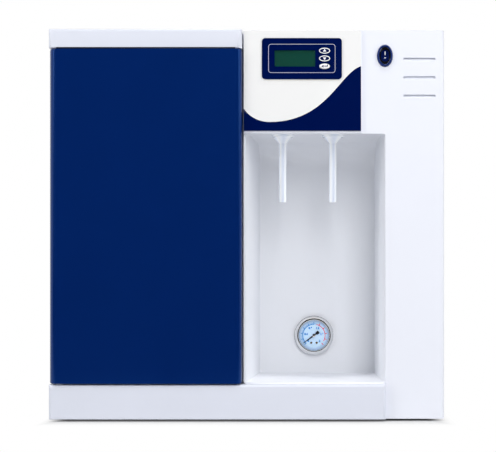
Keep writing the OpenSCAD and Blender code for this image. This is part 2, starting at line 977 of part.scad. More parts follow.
// Control panel
module control_panel() {
    color(c_white)
        difference() {
            union() {
                difference() {
                    intersection() {
                        along_z(panel_z, z_t)
                            soft_rect([panel_x0, panel_y], [panel_x1, frame_y], [fine_r, fine_r, 0, 0]);
                        along_x(panel_x0 - past, panel_x1 + past)
                            soft_rect([panel_y, panel_z], [frame_y, z_t], [fine_r, 0, 0, 2 * fine_r]);
                    }
                    span([panel_x0 + trim_wall, panel_y + panel_t, panel_z - past],
                         [panel_x1 - trim_wall, frame_y + past, z_t - trim_wall]);
                    span([panel_x0 - past, panel_y + panel_t, panel_z - past],
                         [panel_x1 + past, frame_y + past, return_z]);
                }
                at_board_holes()
                    along_y(panel_y + panel_t / 2, board_y)
                        circle(r = standoff_r);
            }
            span([display_x0 + display_hold, panel_y - past, display_z0 + display_hold],
                 [display_x1 - display_hold, panel_y + panel_t + past, display_z1 - display_hold]);
        }
}

module panel_film() {
    color(c_white)
        along_y(panel_y - film_t, panel_y)
            difference() {
                soft_rect([panel_x0 + film_inset, panel_z + film_inset],
                          [panel_x1 - film_inset, z_t - fine_r - film_inset],
                          fine_r * [1, 1, 1, 1]);
                soft_rect([display_x0 - play, display_z0 - play], [display_x1 + play, display_z1 + play],
                          (display_r + play) * [1, 1, 1, 1]);
            }
}

module at_keys() {
    for (i = [-1 : 1])
        translate([key_x, key_z + i * key_pitch])
            children();
}

module key_outline(grow) {
    rotate(90)
        oval(key_h, key_w, grow);
}

module display_bezel() {
    color(c_navy)
        along_y(display_y, panel_y)
            difference() {
                soft_rect([display_x0, display_z0], [display_x1, display_z1], display_r * [1, 1, 1, 1]);
                translate([lcd_x0, lcd_z0])
                    square([lcd_w, lcd_h]);
                at_keys()
                    key_outline(play);
            }
}

module lcd_window() {
    color(c_clear)
        along_y(panel_y - window_t, panel_y)
            translate([lcd_x0 + slip, lcd_z0 + slip])
                square([lcd_w - 2 * slip, lcd_h - 2 * slip]);
}

module lcd_module() {
    color(c_lcd)
        span([lcd_x0 - lcd_rim, panel_y, lcd_z0 - lcd_rim],
             [lcd_x1 + lcd_rim, panel_y + lcd_t, lcd_z1 + lcd_rim]);
}

module control_board() {
    tact = 6;
    plunger_r = 1.7;
    chip = 14;
    chip_t = 2;
    socket_pitch = (board_w - 2 * chip) / 4;
    color(c_board)
        difference() {
            union() {
                along_y(board_y, board_y + board_t)
                    translate([board_x, board_z])
                        square([board_w, board_h], center = true);
                for (i = [-1 : 1]) {
                    along_y(tact_y + past, board_y)
                        translate([key_x, key_z + i * key_pitch])
                            square(tact, center = true);
                    along_y(tact_y, board_y)
                        translate([key_x, key_z + i * key_pitch])
                            circle(r = plunger_r);
                }
                along_y(board_y, board_y + board_t + chip_t)
                    translate([board_x, board_z])
                        square(chip, center = true);
                for (i = [-2 : 2])
                    along_y(board_y, board_y + board_t + chip / 2)
                        translate([board_x + i * socket_pitch, board_z - board_h / 2 + chip / 2])
                            square([chip, chip / 2], center = true);
            }
            at_board_holes()
                along_y(board_y - past, board_y + board_t + past)
                    circle(r = screw_r / 2);
        }
}

module key(place) {
    color(c_navy)
        translate([key_x, 0, key_z + place * key_pitch]) {
            along_y(display_y - key_proud, panel_y + past)
                key_outline(0);
            along_y(panel_y, panel_y + past)
                key_outline(key_collar);
            along_y(panel_y, key_stem_y)
                circle(r = key_h / 4);
        }
}

module key_up() {
    key(1);
}

module key_down() {
    key(0);
}

module key_set() {
    key(-1);
}

// Power switch
module switch_bezel() {
    steps = 3;
    color(c_blue)
        translate([switch_x, 0, switch_z])
            for (i = [1 : steps])
                along_y(column_y - switch_proud * i / steps,
                        column_y - switch_proud * (i - 1) / steps)
                    difference() {
                        oval(switch_w, switch_h, -(i - 1) * (i - 1) * switch_proud / 12);
                        oval(switch_frame_w, switch_frame_h, press);
                    }
}

rocker_pivot_y = column_y - switch_proud / 2 + 2;
rocker_pin_r = 1.2;
rocker_grip = 0.8;
switch_floor = 4;

module switch_frame() {
    sunk = 0.6;
    color(c_black)
        difference() {
            translate([switch_x, 0, switch_z])
                along_y(column_y - switch_proud + sunk, column_y + switch_body_d)
                    oval(switch_frame_w, switch_frame_h);
            translate([switch_x, 0, switch_z])
                along_y(column_y - switch_proud - past, column_y + switch_body_d - switch_floor)
                    upright_slot(rocker_w, rocker_h);
            along_x(switch_x - rocker_w / 2 - rocker_grip - play, switch_x + rocker_w / 2 + rocker_grip + play)
                translate([rocker_pivot_y, switch_z])
                    circle(r = rocker_pin_r + slip);
        }
}

module switch_rocker() {
    front = 3.6;
    dip = 0.9;
    rear = 3;
    end_gap = 0.6;
    color(c_blue)
        translate([switch_x, rocker_pivot_y, switch_z])
            rotate([rocker_tilt, 0, 0]) {
                intersection() {
                    along_y(-front, rear)
                        upright_slot(rocker_w - 2 * play, rocker_h - 2 * end_gap);
                    along_x(-rocker_w, rocker_w)
                        polygon([
                            [-front, -rocker_h / 2], [-front + dip, 0], [-front, rocker_h / 2],
                            [rear, rocker_h / 2], [rear, -rocker_h / 2]
                        ]);
                }
                along_x(-rocker_w / 2 - rocker_grip, rocker_w / 2 + rocker_grip)
                    circle(r = rocker_pin_r);
            }
}

// Dispensing niche
module niche_plan(out) {
    polygon([
        [niche_x0 - out, niche_y0], [niche_x1 + out, niche_y0],
        [niche_x1 - draft_right + out, niche_y1 + out], [niche_x0 + draft_left - out, niche_y1 + out]
    ]);
}

// The space inside the niche, run out past its front, with the cove between ceiling and back wall
module niche_space() {
    run = past / (niche_y1 - niche_y0);
    intersection() {
        along_z(niche_z0, niche_z1 + past)
            polygon([
                [niche_x0 - draft_left * run, niche_y0 - past], [niche_x1 + draft_right * run, niche_y0 - past],
                [niche_x1 - draft_right, niche_y1], [niche_x0 + draft_left, niche_y1]
            ]);
        along_x(niche_x0 - draft_left, niche_x1 + draft_left)
            soft_rect([niche_y0 - 2 * past, niche_z0 - past], [niche_y1, niche_z1], [0, 0, cove_r, 0]);
    }
}

module niche_liner() {
    wing = 5;
    color(c_white)
        difference() {
            union() {
                difference() {
                    along_z(plinth_z, ceiling_z)
                        niche_plan(niche_wall);
                    niche_space();
                }
                span([niche_x1 + niche_wall / 2, niche_y0, plinth_z],
                     [niche_x1 + wing, niche_y0 + niche_wall, ceiling_z]);
                span([niche_x0 - niche_wall / 2, niche_y0, lip_z],
                     [niche_x1 + wing, niche_y0 + niche_wall, ceiling_z]);
                along_x(panel_x0, panel_x1)
                    soft_rect([column_y - lip_proud, lip_z], [niche_y0 + past, panel_z],
                              [fine_r / 2, 0, 0, 0]);
            }
            for (x = spout_x)
                translate([x, spout_y, niche_z1 - past])
                    cylinder(r = shank_r + press, h = niche_wall + 2 * past);
            turned_y(gauge_x, gauge_z)
                translate([0, niche_y1 - past])
                    square([gauge_case_r + press, niche_wall + 2 * past]);
        }
}

module spout(x) {
    top = niche_z1 + shank_h;
    base = niche_z1 - spout_len;
    flange_z = niche_z1 - spout_flange_t;
    cone_z = flange_z - spout_cone_h;
    soft = 0.4;
    color(c_clear)
        turned_z(x, spout_y)
            polygon([
                [spout_bore_r, base], [spout_r, base], [spout_r, cone_z], [spout_r + soft, cone_z + soft],
                [spout_cone_r, flange_z], [spout_flange_r - soft, flange_z],
                [spout_flange_r, flange_z + soft], [spout_flange_r, niche_z1],
                [shank_r, niche_z1], [shank_r, top], [spout_bore_r, top]
            ]);
}

module left_spout() {
    spout(spout_x[0]);
}

module right_spout() {
    spout(spout_x[1]);
}

module spout_nuts() {
    nut_h = 6;
    color(c_white)
        for (x = spout_x)
            translate([x, spout_y, ceiling_z])
                difference() {
                    cylinder(r = 1.9 * shank_r, h = nut_h, $fn = 6);
                    translate([0, 0, -past])
                        cylinder(r = shank_r + press, h = nut_h + 2 * past);
                }
}

// Pressure gauge
module gauge_bezel() {
    bore = gauge_case_r + play;
    color(c_steel)
        turned_y(gauge_x, gauge_z)
            difference() {
                soft_rect([0, gauge_front], [gauge_r, niche_y1], [0, gauge_bezel_d / 2, 0.5, 0]);
                translate([-past, gauge_front + gauge_lip])
                    square([bore + past, gauge_bezel_d]);
                translate([-past, gauge_front - past])
                    square([bore - gauge_lip + past, gauge_bezel_d]);
            }
}

module gauge_glass() {
    color(c_clear)
        turned_y(gauge_x, gauge_z)
            translate([0, gauge_front + gauge_lip])
                square([gauge_case_r, glass_t]);
}

module gauge_case() {
    wall = case_wall;
    stem_r = 5;
    stem_len = 18;
    hex_r = 8;
    hex_len = 8;
    rear = niche_y1 + gauge_case_d;
    color(c_steel) {
        turned_y(gauge_x, gauge_z)
            difference() {
                translate([0, dial_y - past])
                    square([gauge_case_r, rear - dial_y + past]);
                translate([-past, dial_y - 2 * past])
                    square([gauge_case_r - wall + past, dial_t + 2 * past]);
                translate([-past, dial_y])
                    square([gauge_case_r - 2 * wall + past, rear - dial_y - 2 * wall]);
            }
        turned_y(gauge_x, gauge_z)
            translate([0, rear - wall])
                square([stem_r, stem_len]);
        translate([gauge_x, rear - wall, gauge_z])
            rotate([-90, 0, 0])
                cylinder(r = hex_r, h = hex_len, $fn = 6);
    }
}

module gauge_dial() {
    color(c_white)
        turned_y(gauge_x, gauge_z)
            translate([spindle_r + slip, dial_y])
                square([gauge_case_r - case_wall - play - spindle_r, dial_t]);
}

module dial_screws() {
    head_r = 1.5;
    head_t = 0.7;
    spread = 3.6;
    drop = 9.8;
    color(c_brass)
        for (side = [-1, 1])
            turned_y(gauge_x + side * spread, gauge_z - drop)
                translate([0, dial_y - head_t])
                    square([head_r, head_t]);
}

module gauge_pointer() {
    tail = 8;
    tail_w = 1.5;
    hub_r = 2.2;
    root_w = 0.9;
    spindle_len = 8;
    color(c_black)
        translate([gauge_x, 0, gauge_z]) {
            rotate([0, pointer_rest, 0])
                along_y(pointer_y - pointer_t, pointer_y) {
                    polygon([
                        [-root_w, 0], [0, pointer_len], [root_w, 0],
                        [tail_w, -tail / 2], [tail_w, -tail], [-tail_w, -tail], [-tail_w, -tail / 2]
                    ]);
                    circle(r = hub_r);
                }
            along_y(pointer_y - pointer_t, pointer_y + spindle_len)
                circle(r = spindle_r);
        }
}

module gauge_ring_nut() {
    nut_t = 6;
    nut_w = 5;
    grips = 12;
    grip_w = 3;
    grip_d = 1;
    color(c_steel)
        difference() {
            turned_y(gauge_x, gauge_z)
                translate([gauge_case_r + press, niche_y1 + niche_wall])
                    square([nut_w, nut_t]);
            translate([gauge_x, 0, gauge_z])
                for (i = [0 : grips - 1])
                    rotate([0, i * 360 / grips, 0])
                        span([-grip_w / 2, niche_y1, gauge_case_r + nut_w - grip_d],
                             [grip_w / 2, niche_y1 + 2 * nut_t, gauge_case_r + 2 * nut_w]);
        }
}

// Filter bay
module filter_bracket() {
    front = cartridge_y - bracket_d / 2;
    rear = cartridge_y + bracket_d / 2;
    x0 = x_l + sheet;
    color(c_steel)
        difference() {
            union() {
                span([x0, front, bracket_z], [part_x0, rear, bracket_z + bracket_t]);
                for (x = [x0, part_x0 - bracket_t])
                    span([x, front, bracket_z], [x + bracket_t, rear, bracket_z + 2 * flange]);
                span([x0, front, bracket_z], [part_x0, front + bracket_t, bracket_z + flange]);
            }
            for (x = cartridge_x)
                translate([x, cartridge_y, bracket_z - past])
                    cylinder(r = neck_r / 2 + press, h = bracket_t + 2 * past);
        }
}

module filter_heads() {
    rim = 1.5;
    shoulder = 8;
    color(c_white)
        for (x = cartridge_x)
            difference() {
                union() {
                    turned_z(x, cartridge_y) {
                        soft_rect([0, head_z], [cartridge_r + rim, bracket_z], [0, 1, shoulder, 0]);
                        translate([0, bracket_z - past])
                            square([neck_r / 2, bracket_t + 4 * past]);
                    }
                    translate([x, 0, head_port_z])
                        along_y(cartridge_y - head_reach, cartridge_y + head_reach)
                            circle(r = head_port_r);
                }
                translate([x, cartridge_y, head_z - past])
                    cylinder(r = neck_r + play, h = neck_len + play + past);
                for (side = [0, 1])
                    translate([x, cartridge_y, head_port_z])
                        mirror([0, side, 0])
                            along_y(head_reach - port_depth, head_reach + past)
                                circle(r = tube_r);
            }
}

module cartridge(x) {
    dome_r = 12;
    ribs = 8;
    rib_h = 26;
    rib_w = 3;
    rib_t = 1.6;
    bottom = cartridge_z - cartridge_len;
    band_z = bottom + rib_h + dome_r;
    band_h = 3;
    color(c_white) {
        turned_z(x, cartridge_y) {
            soft_rect([0, bottom], [cartridge_r - rib_t, cartridge_z], [0, dome_r, 4, 0]);
            soft_rect([0, band_z], [cartridge_r, band_z + band_h], [0, 1, 1, 0]);
            soft_rect([0, cartridge_z - 4 * band_h], [cartridge_r, cartridge_z - 2 * band_h], [0, 1, 1, 0]);
            translate([0, cartridge_z - past])
                square([neck_r, neck_len + past]);
        }
        for (i = [0 : ribs - 1])
            translate([x, cartridge_y, 0])
                rotate(i * 360 / ribs)
                    span([cartridge_r - 4 * rib_t, -rib_w / 2, bottom + dome_r],
                         [cartridge_r, rib_w / 2, bottom + dome_r + rib_h]);
    }
}

module sediment_cartridge() {
    cartridge(cartridge_x[0]);
}

module carbon_cartridge() {
    cartridge(cartridge_x[1]);
}

module softener_cartridge() {
    cartridge(cartridge_x[2]);
}

cap_h = 34;
membrane_stub = 14;
cap_grow = 3;

module membrane_housing() {
    dome_r = 0.45 * membrane_r;
    stub_r = 7;
    stub_len = membrane_stub;
    color(c_white)
        difference() {
            turned_z(membrane_x, membrane_y) {
                soft_rect([0, membrane_z], [membrane_r, membrane_z + membrane_len - cap_h], [0, dome_r, 0, 0]);
                translate([0, membrane_z - stub_len])
                    square([stub_r, stub_len + past]);
            }
            translate([membrane_x, membrane_y, membrane_z - stub_len - past])
                cylinder(r = tube_r, h = port_depth + past);
        }
}

module membrane_cap() {
    ribs = 16;
    base = membrane_z + membrane_len - cap_h;
    rib_r = 1.2;
    stub_r = 7;
    shoulder = 8;
    color(c_blue)
        difference() {
            union() {
                turned_z(membrane_x, membrane_y) {
                    soft_rect([0, base], [membrane_r + cap_grow - rib_r, base + cap_h], [0, 1, 6, 0]);
                    translate([0, base + cap_h - past])
                        square([stub_r, port_depth]);
                }
                for (i = [0 : ribs - 1])
                    translate([membrane_x, membrane_y, base])
                        rotate(i * 360 / ribs)
                            translate([membrane_r + cap_grow - rib_r, 0, 0])
                                cylinder(r = rib_r, h = cap_h - shoulder);
            }
            translate([membrane_x, membrane_y, base + cap_h])
                cylinder(r = tube_r, h = port_depth + past);
        }
}

// A spring clip round an upright cylinder, open on one side, with its foot towards +X
module clip(r, reach) {
    mouth = 1.3 * r;
    difference() {
        union() {
            cylinder(r = r + clip_t, h = clip_h);
            span([0, -r / 2, 0], [reach, r / 2, clip_h]);
        }
        translate([0, 0, -past])
            cylinder(r = r + press, h = clip_h + 2 * past);
        span([-2 * r, -mouth / 2, -past], [0, mouth / 2, clip_h + past]);
    }
}

module membrane_clips() {
    color(c_black)
        for (z = clip_z)
            translate([membrane_x, membrane_y, z])
                clip(membrane_r, membrane_r + clip_base);
}

module polishing_column() {
    groove = 1.5;
    lip = 2;
    stub_r = 7;
    top = polish_z + polish_len;
    color(c_clear)
        difference() {
            turned_z(polish_x, polish_y) {
                translate([0, polish_z - past])
                    square([polish_r, polish_len + 2 * past]);
                for (z = [pan_z, top])
                    soft_rect([0, z], [polish_r + lip, z + polish_cap_h], [0, groove, groove, 0]);
                translate([0, top + polish_cap_h - past])
                    square([stub_r, port_depth]);
            }
            translate([polish_x, polish_y, top + polish_cap_h])
                cylinder(r = tube_r, h = port_depth + past);
        }
}

module column_strap() {
    color(c_black)
        translate([polish_x, polish_y, polish_z + polish_len * 0.6])
            mirror([1, 0, 0])
                clip(polish_r, polish_r + clip_t + clip_base);
}

// A tube from point to point, with a round elbow at each bend
module tube(points) {
    for (i = [1 : len(points) - 1]) {
        leg = points[i] - points[i - 1];
        translate(points[i - 1])
            rotate([0, acos(leg.z / norm(leg)), atan2(leg.y, leg.x)])
                cylinder(r = tube_r - press, h = norm(leg));
    }
    for (i = [1 : len(points) - 2]) {
        bend = back_way(points, i) + on_way(points, i);
        translate(points[i])
            rotate(atan2(-bend.y, -bend.x))
                sphere(r = elbow_r);
    }
}

// Head to head, feed port to first head, membrane to waste port and to polishing column
module water_tubes() {
    bend = elbow_r + 2 * past;
    hold = port_depth - play;
    inside = rear_y - port_inner - press;
    turn_y = inside - 4 * bend;
    stub_z = membrane_z - membrane_stub;
    cap_z = membrane_z + membrane_len;
    over_z = cap_z + port_depth + bend;
    head = [cartridge_x[0], cartridge_y + head_reach, head_port_z];
    membrane = [membrane_x, membrane_y];
    polish = [polish_x, polish_y];
    color(c_white) {
        for (i = [0, 1])
            tube([for (p = [[i, -hold], [i, bend], [i + 1, bend], [i + 1, -hold]])
                [cartridge_x[p[0]], cartridge_y + (2 * i - 1) * (head_reach + p[1]), head_port_z]]);
        tube([
            head - [0, hold, 0], [head.x, turn_y, head.z],
            [port_x[0], turn_y, port_z], [port_x[0], inside, port_z]
        ]);
        tube([
            [each membrane, stub_z + hold], [each membrane, stub_z - bend],
            [port_x[1], turn_y, port_z], [port_x[1], inside, port_z]
        ]);
        tube([
            [each membrane, cap_z + play], [each membrane, over_z],
            [each polish, over_z], [each polish, polish_z + polish_len + polish_cap_h + play]
        ]);
    }
}

// Right bay
module pump_mount() {
    plate_t = 2;
    foot = 8;
    saddle = [12, 30];
    w = pump_head_w * 0.9;
    len = pump_head_len + motor_len * 0.7;
    color(c_steel) {
        span([pump_x, pump_y - w / 2, pan_z + pump_mount_h - plate_t],
             [pump_x + len, pump_y + w / 2, pan_z + pump_mount_h]);
        for (x = [pump_x + foot, pump_x + len - foot], y = [pump_y - w / 2 + foot, pump_y + w / 2 - foot])
            turned_z(x, y)
                soft_rect([0, pan_z], [foot * 0.8, pan_z + pump_mount_h - plate_t], [0, 1, 1, 0]);
        difference() {
            span([pump_x + pump_head_len + saddle[0], pump_y - w / 2, pan_z + pump_mount_h - plate_t / 2],
                 [pump_x + pump_head_len + saddle[1], pump_y + w / 2, pump_z]);
            along_x(pump_x, pump_x + len)
                translate([pump_y, pump_z])
                    circle(r = motor_r + press);
        }
    }
}

module pump_head() {
    stub_r = 6;
    stub_len = 16;
    edge = 8;
    screw_head = 3.5;
    half = pump_head_w / 2;
    color(c_black)
        difference() {
            union() {
                along_x(pump_x, pump_x + pump_head_len)
                    soft_rect([pump_y - half, pump_z - half], [pump_y + half, pump_z + half],
                              edge * [1, 1, 1, 1]);
                translate([pump_x + pump_head_len / 2, 0, pump_z + half / 2])
                    along_y(pump_y - half - stub_len, pump_y + half + stub_len)
                        circle(r = stub_r);
                for (y = [-1, 1], z = [-1, 1])
                    along_x(pump_x - screw_head / 2, pump_x + past)
                        translate([pump_y + y * (half - edge), pump_z + z * (half - edge)])
                            circle(r = screw_head);
            }
            for (side = [0, 1])
                translate([pump_x + pump_head_len / 2, pump_y, pump_z + half / 2])
                    mirror([0, side, 0])
                        along_y(half + stub_len - port_depth, half + stub_len + past)
                            circle(r = tube_r);
        }
}

module pump_motor() {
    x0 = pump_x + pump_head_len;
    bell = 6;
    shaft_boss = 8;
    color(c_steel)
        translate([0, pump_y, pump_z])
            rotate([90, 0, 90])
                rotate_extrude() {
                    soft_rect([0, x0], [motor_r, x0 + motor_len], [0, 0, bell, 0]);
                    soft_rect([0, x0 + motor_len - past], [shaft_boss, x0 + motor_len + bell], [0, 0, 1, 0]);
                }
}

module power_supply() {
    x1 = x_r - sheet;
    y1 = rear_y - supply_rear;
    z0 = pan_z + supply_up;
    rows = 5;
    vent = 4;
    term_h = 14;
    term_in = 10;
    color(c_steel)
        difference() {
            union() {
                span([x1 - supply_t, y1 - supply_len, z0], [x1, y1, z0 + supply_h]);
                span([x1 - supply_t + term_in, y1 - supply_len + term_in, z0 - term_h],
                     [x1 - term_in / 2, y1 - term_in, z0 + past]);
            }
            for (i = [0 : rows - 1], j = [0 : rows - 1])
                translate([x1 - supply_t - past,
                           y1 - supply_len / 2 + (i - 2) * 4 * vent,
                           z0 + supply_h / 2 + (j - 2) * 4 * vent])
                    rotate([0, 90, 0])
                        cylinder(d = vent, h = 2 * past);
        }
}

module dispense_valves() {
    body_h = 20;
    stub_r = 6;
    y = spout_y + valve_back;
    half = valve_w / 2;
    color(c_white)
        for (x = spout_x)
            difference() {
                union() {
                    span([x - half, y - half, ceiling_z], [x + half, y + half, ceiling_z + body_h]);
                    turned_z(x, y)
                        soft_rect([0, ceiling_z + body_h - past], [coil_r, ceiling_z + body_h + coil_h],
                                  [0, 0, 3, 0]);
                    translate([x, 0, ceiling_z + body_h / 2])
                        along_y(y - half - stub_r, y + half + stub_r)
                            circle(r = stub_r);
                }
                for (side = [0, 1])
                    translate([x, y, ceiling_z + body_h / 2])
                        mirror([0, side, 0])
                            along_y(half + stub_r - port_depth / 2, half + stub_r + past)
                                circle(r = tube_r);
            }
}

// Rear ports
port_face = 5;
port_socket = rear_y + 1;
collet_r = 5.4;

module rear_ports() {
    inner = port_inner;
    collar = [1.2, 3];
    color(c_white)
        for (x = port_x)
            difference() {
                union() {
                    turned_y(x, port_z) {
                        translate([0, rear_y - inner])
                            square([port_r, inner + past]);
                        soft_rect([0, rear_y], [port_r + collar[0], y_b - collar[1]], [0, 0, 1, 0]);
                    }
                    translate([x, rear_y, port_z])
                        rotate([-90, 0, 0])
                            cylinder(d = port_hex / cos(30), h = port_face, $fn = 6);
                }
                turned_y(x, port_z) {
                    translate([0, rear_y - port_depth])
                        square([tube_r, port_depth + port_reach]);
                    translate([0, port_socket])
                        square([collet_r + press, port_reach]);
                    translate([0, rear_y - inner - past])
                        square([tube_r * 0.6, inner]);
                }
            }
}

module port_collets() {
    rim = 0.8;
    rim_t = 1.6;
    color(c_blue)
        for (x = port_x)
            turned_y(x, port_z) {
                translate([tube_r, port_socket])
                    square([collet_r - tube_r, y_b - port_socket]);
                translate([tube_r, y_b - rim_t])
                    square([collet_r + rim - tube_r, rim_t]);
            }
}

module port_nuts() {
    nut_t = 6;
    color(c_white)
        for (x = port_x)
            translate([x, rear_y - sheet - nut_t, port_z])
                rotate([-90, 0, 0])
                    difference() {
                        cylinder(d = port_hex / cos(30), h = nut_t, $fn = 6);
                        translate([0, 0, -past])
                            cylinder(r = port_r + press, h = nut_t + 2 * past);
                    }
}

module power_inlet() {
    depth = 24;
    recess_rim = 3.5;
    recess_d = 17;
    cut = 4;
    blade = [2, 15, 4];
    half = [inlet_w / 2 - recess_rim, inlet_h / 2 - recess_rim - 0.75];
    color(c_black)
        translate([inlet_x, 0, inlet_z]) {
            difference() {
                union() {
                    along_y(rear_y, rear_y + inlet_rim)
                        soft_rect(-[inlet_w, inlet_h] / 2, [inlet_w, inlet_h] / 2, fine_r * [1, 1, 1, 1]);
                    along_y(rear_y - depth, rear_y + past)
                        square([inlet_w, inlet_h] - 2 * inlet_rim * [1, 1], center = true);
                }
                along_y(rear_y + inlet_rim - recess_d, rear_y + inlet_rim + past)
                    polygon([
                        [-half.x, -half.y], [half.x, -half.y], [half.x, half.y - cut], [half.x - cut, half.y],
                        [cut - half.x, half.y], [-half.x, half.y - cut]
                    ]);
            }
            for (p = [[-7, -1], [0, 3], [7, -1]])
                translate([p.x - blade.x / 2, rear_y + inlet_rim - recess_d - past, p.y - blade.z / 2])
                    cube(blade);
        }
}

base_pan();
rubber_feet();
left_side_panel();
right_side_panel();
top_cover();
rear_panel();
rear_screws();
partition_wall();
front_top_rail();
front_plinth();
right_column_cover();
door_skin();
door_liner();
door_strikes();
catch_magnets();
hinge_pins();
hinge_washers();
control_panel();
panel_film();
display_bezel();
lcd_window();
lcd_module();
control_board();
key_up();
key_down();
key_set();
switch_bezel();
switch_frame();
switch_rocker();
niche_liner();
left_spout();
right_spout();
spout_nuts();
gauge_case();
gauge_bezel();
gauge_glass();
gauge_dial();
gauge_pointer();
dial_screws();
gauge_ring_nut();
filter_bracket();
filter_heads();
sediment_cartridge();
carbon_cartridge();
softener_cartridge();
membrane_housing();
membrane_cap();
membrane_clips();
polishing_column();
column_strap();
water_tubes();
pump_mount();
pump_head();
pump_motor();
power_supply();
dispense_valves();
rear_ports();
port_collets();
port_nuts();
power_inlet();
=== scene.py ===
"""Looks of a bench-top water purifier: its finishes, its fine shapes, a studio and the camera."""

import json
import logging
import math
from dataclasses import dataclass, replace
from enum import Enum
from functools import cached_property
from typing import Any, Callable, Iterable, Mapping, Sequence

import bmesh
import bpy
from mathutils import Matrix, Vector
from mathutils.geometry import interpolate_bezier


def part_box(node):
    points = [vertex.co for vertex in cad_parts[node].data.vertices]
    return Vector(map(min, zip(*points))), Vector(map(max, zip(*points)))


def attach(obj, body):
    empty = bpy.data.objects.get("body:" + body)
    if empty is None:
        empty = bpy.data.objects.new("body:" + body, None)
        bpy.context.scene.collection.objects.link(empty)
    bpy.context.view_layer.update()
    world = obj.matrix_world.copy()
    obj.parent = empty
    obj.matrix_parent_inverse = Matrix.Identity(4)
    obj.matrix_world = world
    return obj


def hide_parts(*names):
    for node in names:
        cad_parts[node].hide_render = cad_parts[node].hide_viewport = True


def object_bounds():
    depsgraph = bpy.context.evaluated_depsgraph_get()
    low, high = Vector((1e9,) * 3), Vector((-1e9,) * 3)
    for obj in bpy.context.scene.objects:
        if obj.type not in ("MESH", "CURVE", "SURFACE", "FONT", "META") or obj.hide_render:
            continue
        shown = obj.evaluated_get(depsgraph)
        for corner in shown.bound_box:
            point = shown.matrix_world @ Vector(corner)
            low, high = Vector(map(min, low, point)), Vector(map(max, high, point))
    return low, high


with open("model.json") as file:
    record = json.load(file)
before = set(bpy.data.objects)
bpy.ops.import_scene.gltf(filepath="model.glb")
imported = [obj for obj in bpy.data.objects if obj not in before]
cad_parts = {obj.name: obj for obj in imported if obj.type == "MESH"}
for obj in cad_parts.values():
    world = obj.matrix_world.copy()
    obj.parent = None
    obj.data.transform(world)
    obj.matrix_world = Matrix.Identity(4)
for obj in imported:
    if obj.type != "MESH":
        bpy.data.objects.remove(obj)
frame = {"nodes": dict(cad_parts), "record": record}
CAD_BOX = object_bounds()

LOG = logging.getLogger("purifier")
MM = 0.001
FRONT = Vector((0.0, -1.0, 0.0))
UP = Vector((0.0, 0.0, 1.0))
UPRIGHT = Matrix.Rotation(math.pi / 2, 4, "X")
TRIM_WALL = 2.5 * MM
NEAR = 0.01 * MM

Colour = tuple[float, float, float]
Place = tuple[float, float, float]
Point = tuple[float, float]
Value = float | Sequence[float]
Socket = bpy.types.NodeSocket
Faces = list[bmesh.types.BMFace]
Geom = list[bmesh.types.BMEdge] | list[bmesh.types.BMVert]


def in_mm(*points: Point) -> tuple[Point, ...]:
    """Give flat points in metres from ones in millimetres."""
    return tuple((x * MM, y * MM) for x, y in points)


def shifted(points: Iterable[Point], by: Point) -> list[Point]:
    """Move flat points by a distance along each of their axes."""
    return [(x + by[0], y + by[1]) for x, y in points]


def bend(points: Iterable[Point], steps: int) -> list[Point]:
    """Give points along the curve that two ends and their handles make."""
    return [tuple(p) for p in interpolate_bezier(*map(Vector, points), steps)]


def middle(node: str) -> Vector:
    """Give the middle of a node's box."""
    low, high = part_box(node)
    return (low + high) / 2


def body_of(node: str) -> str:
    """Give the body that carries a node."""
    bodies = frame["record"]["behaviour"]["bodies"]
    return next(body for body, nodes in bodies.items() if node in nodes)


def joint(name: str) -> dict[str, Any]:
    """Give a joint of the record."""
    return next(j for j in frame["record"]["behaviour"]["joints"] if j["name"] == name)


# Finishes


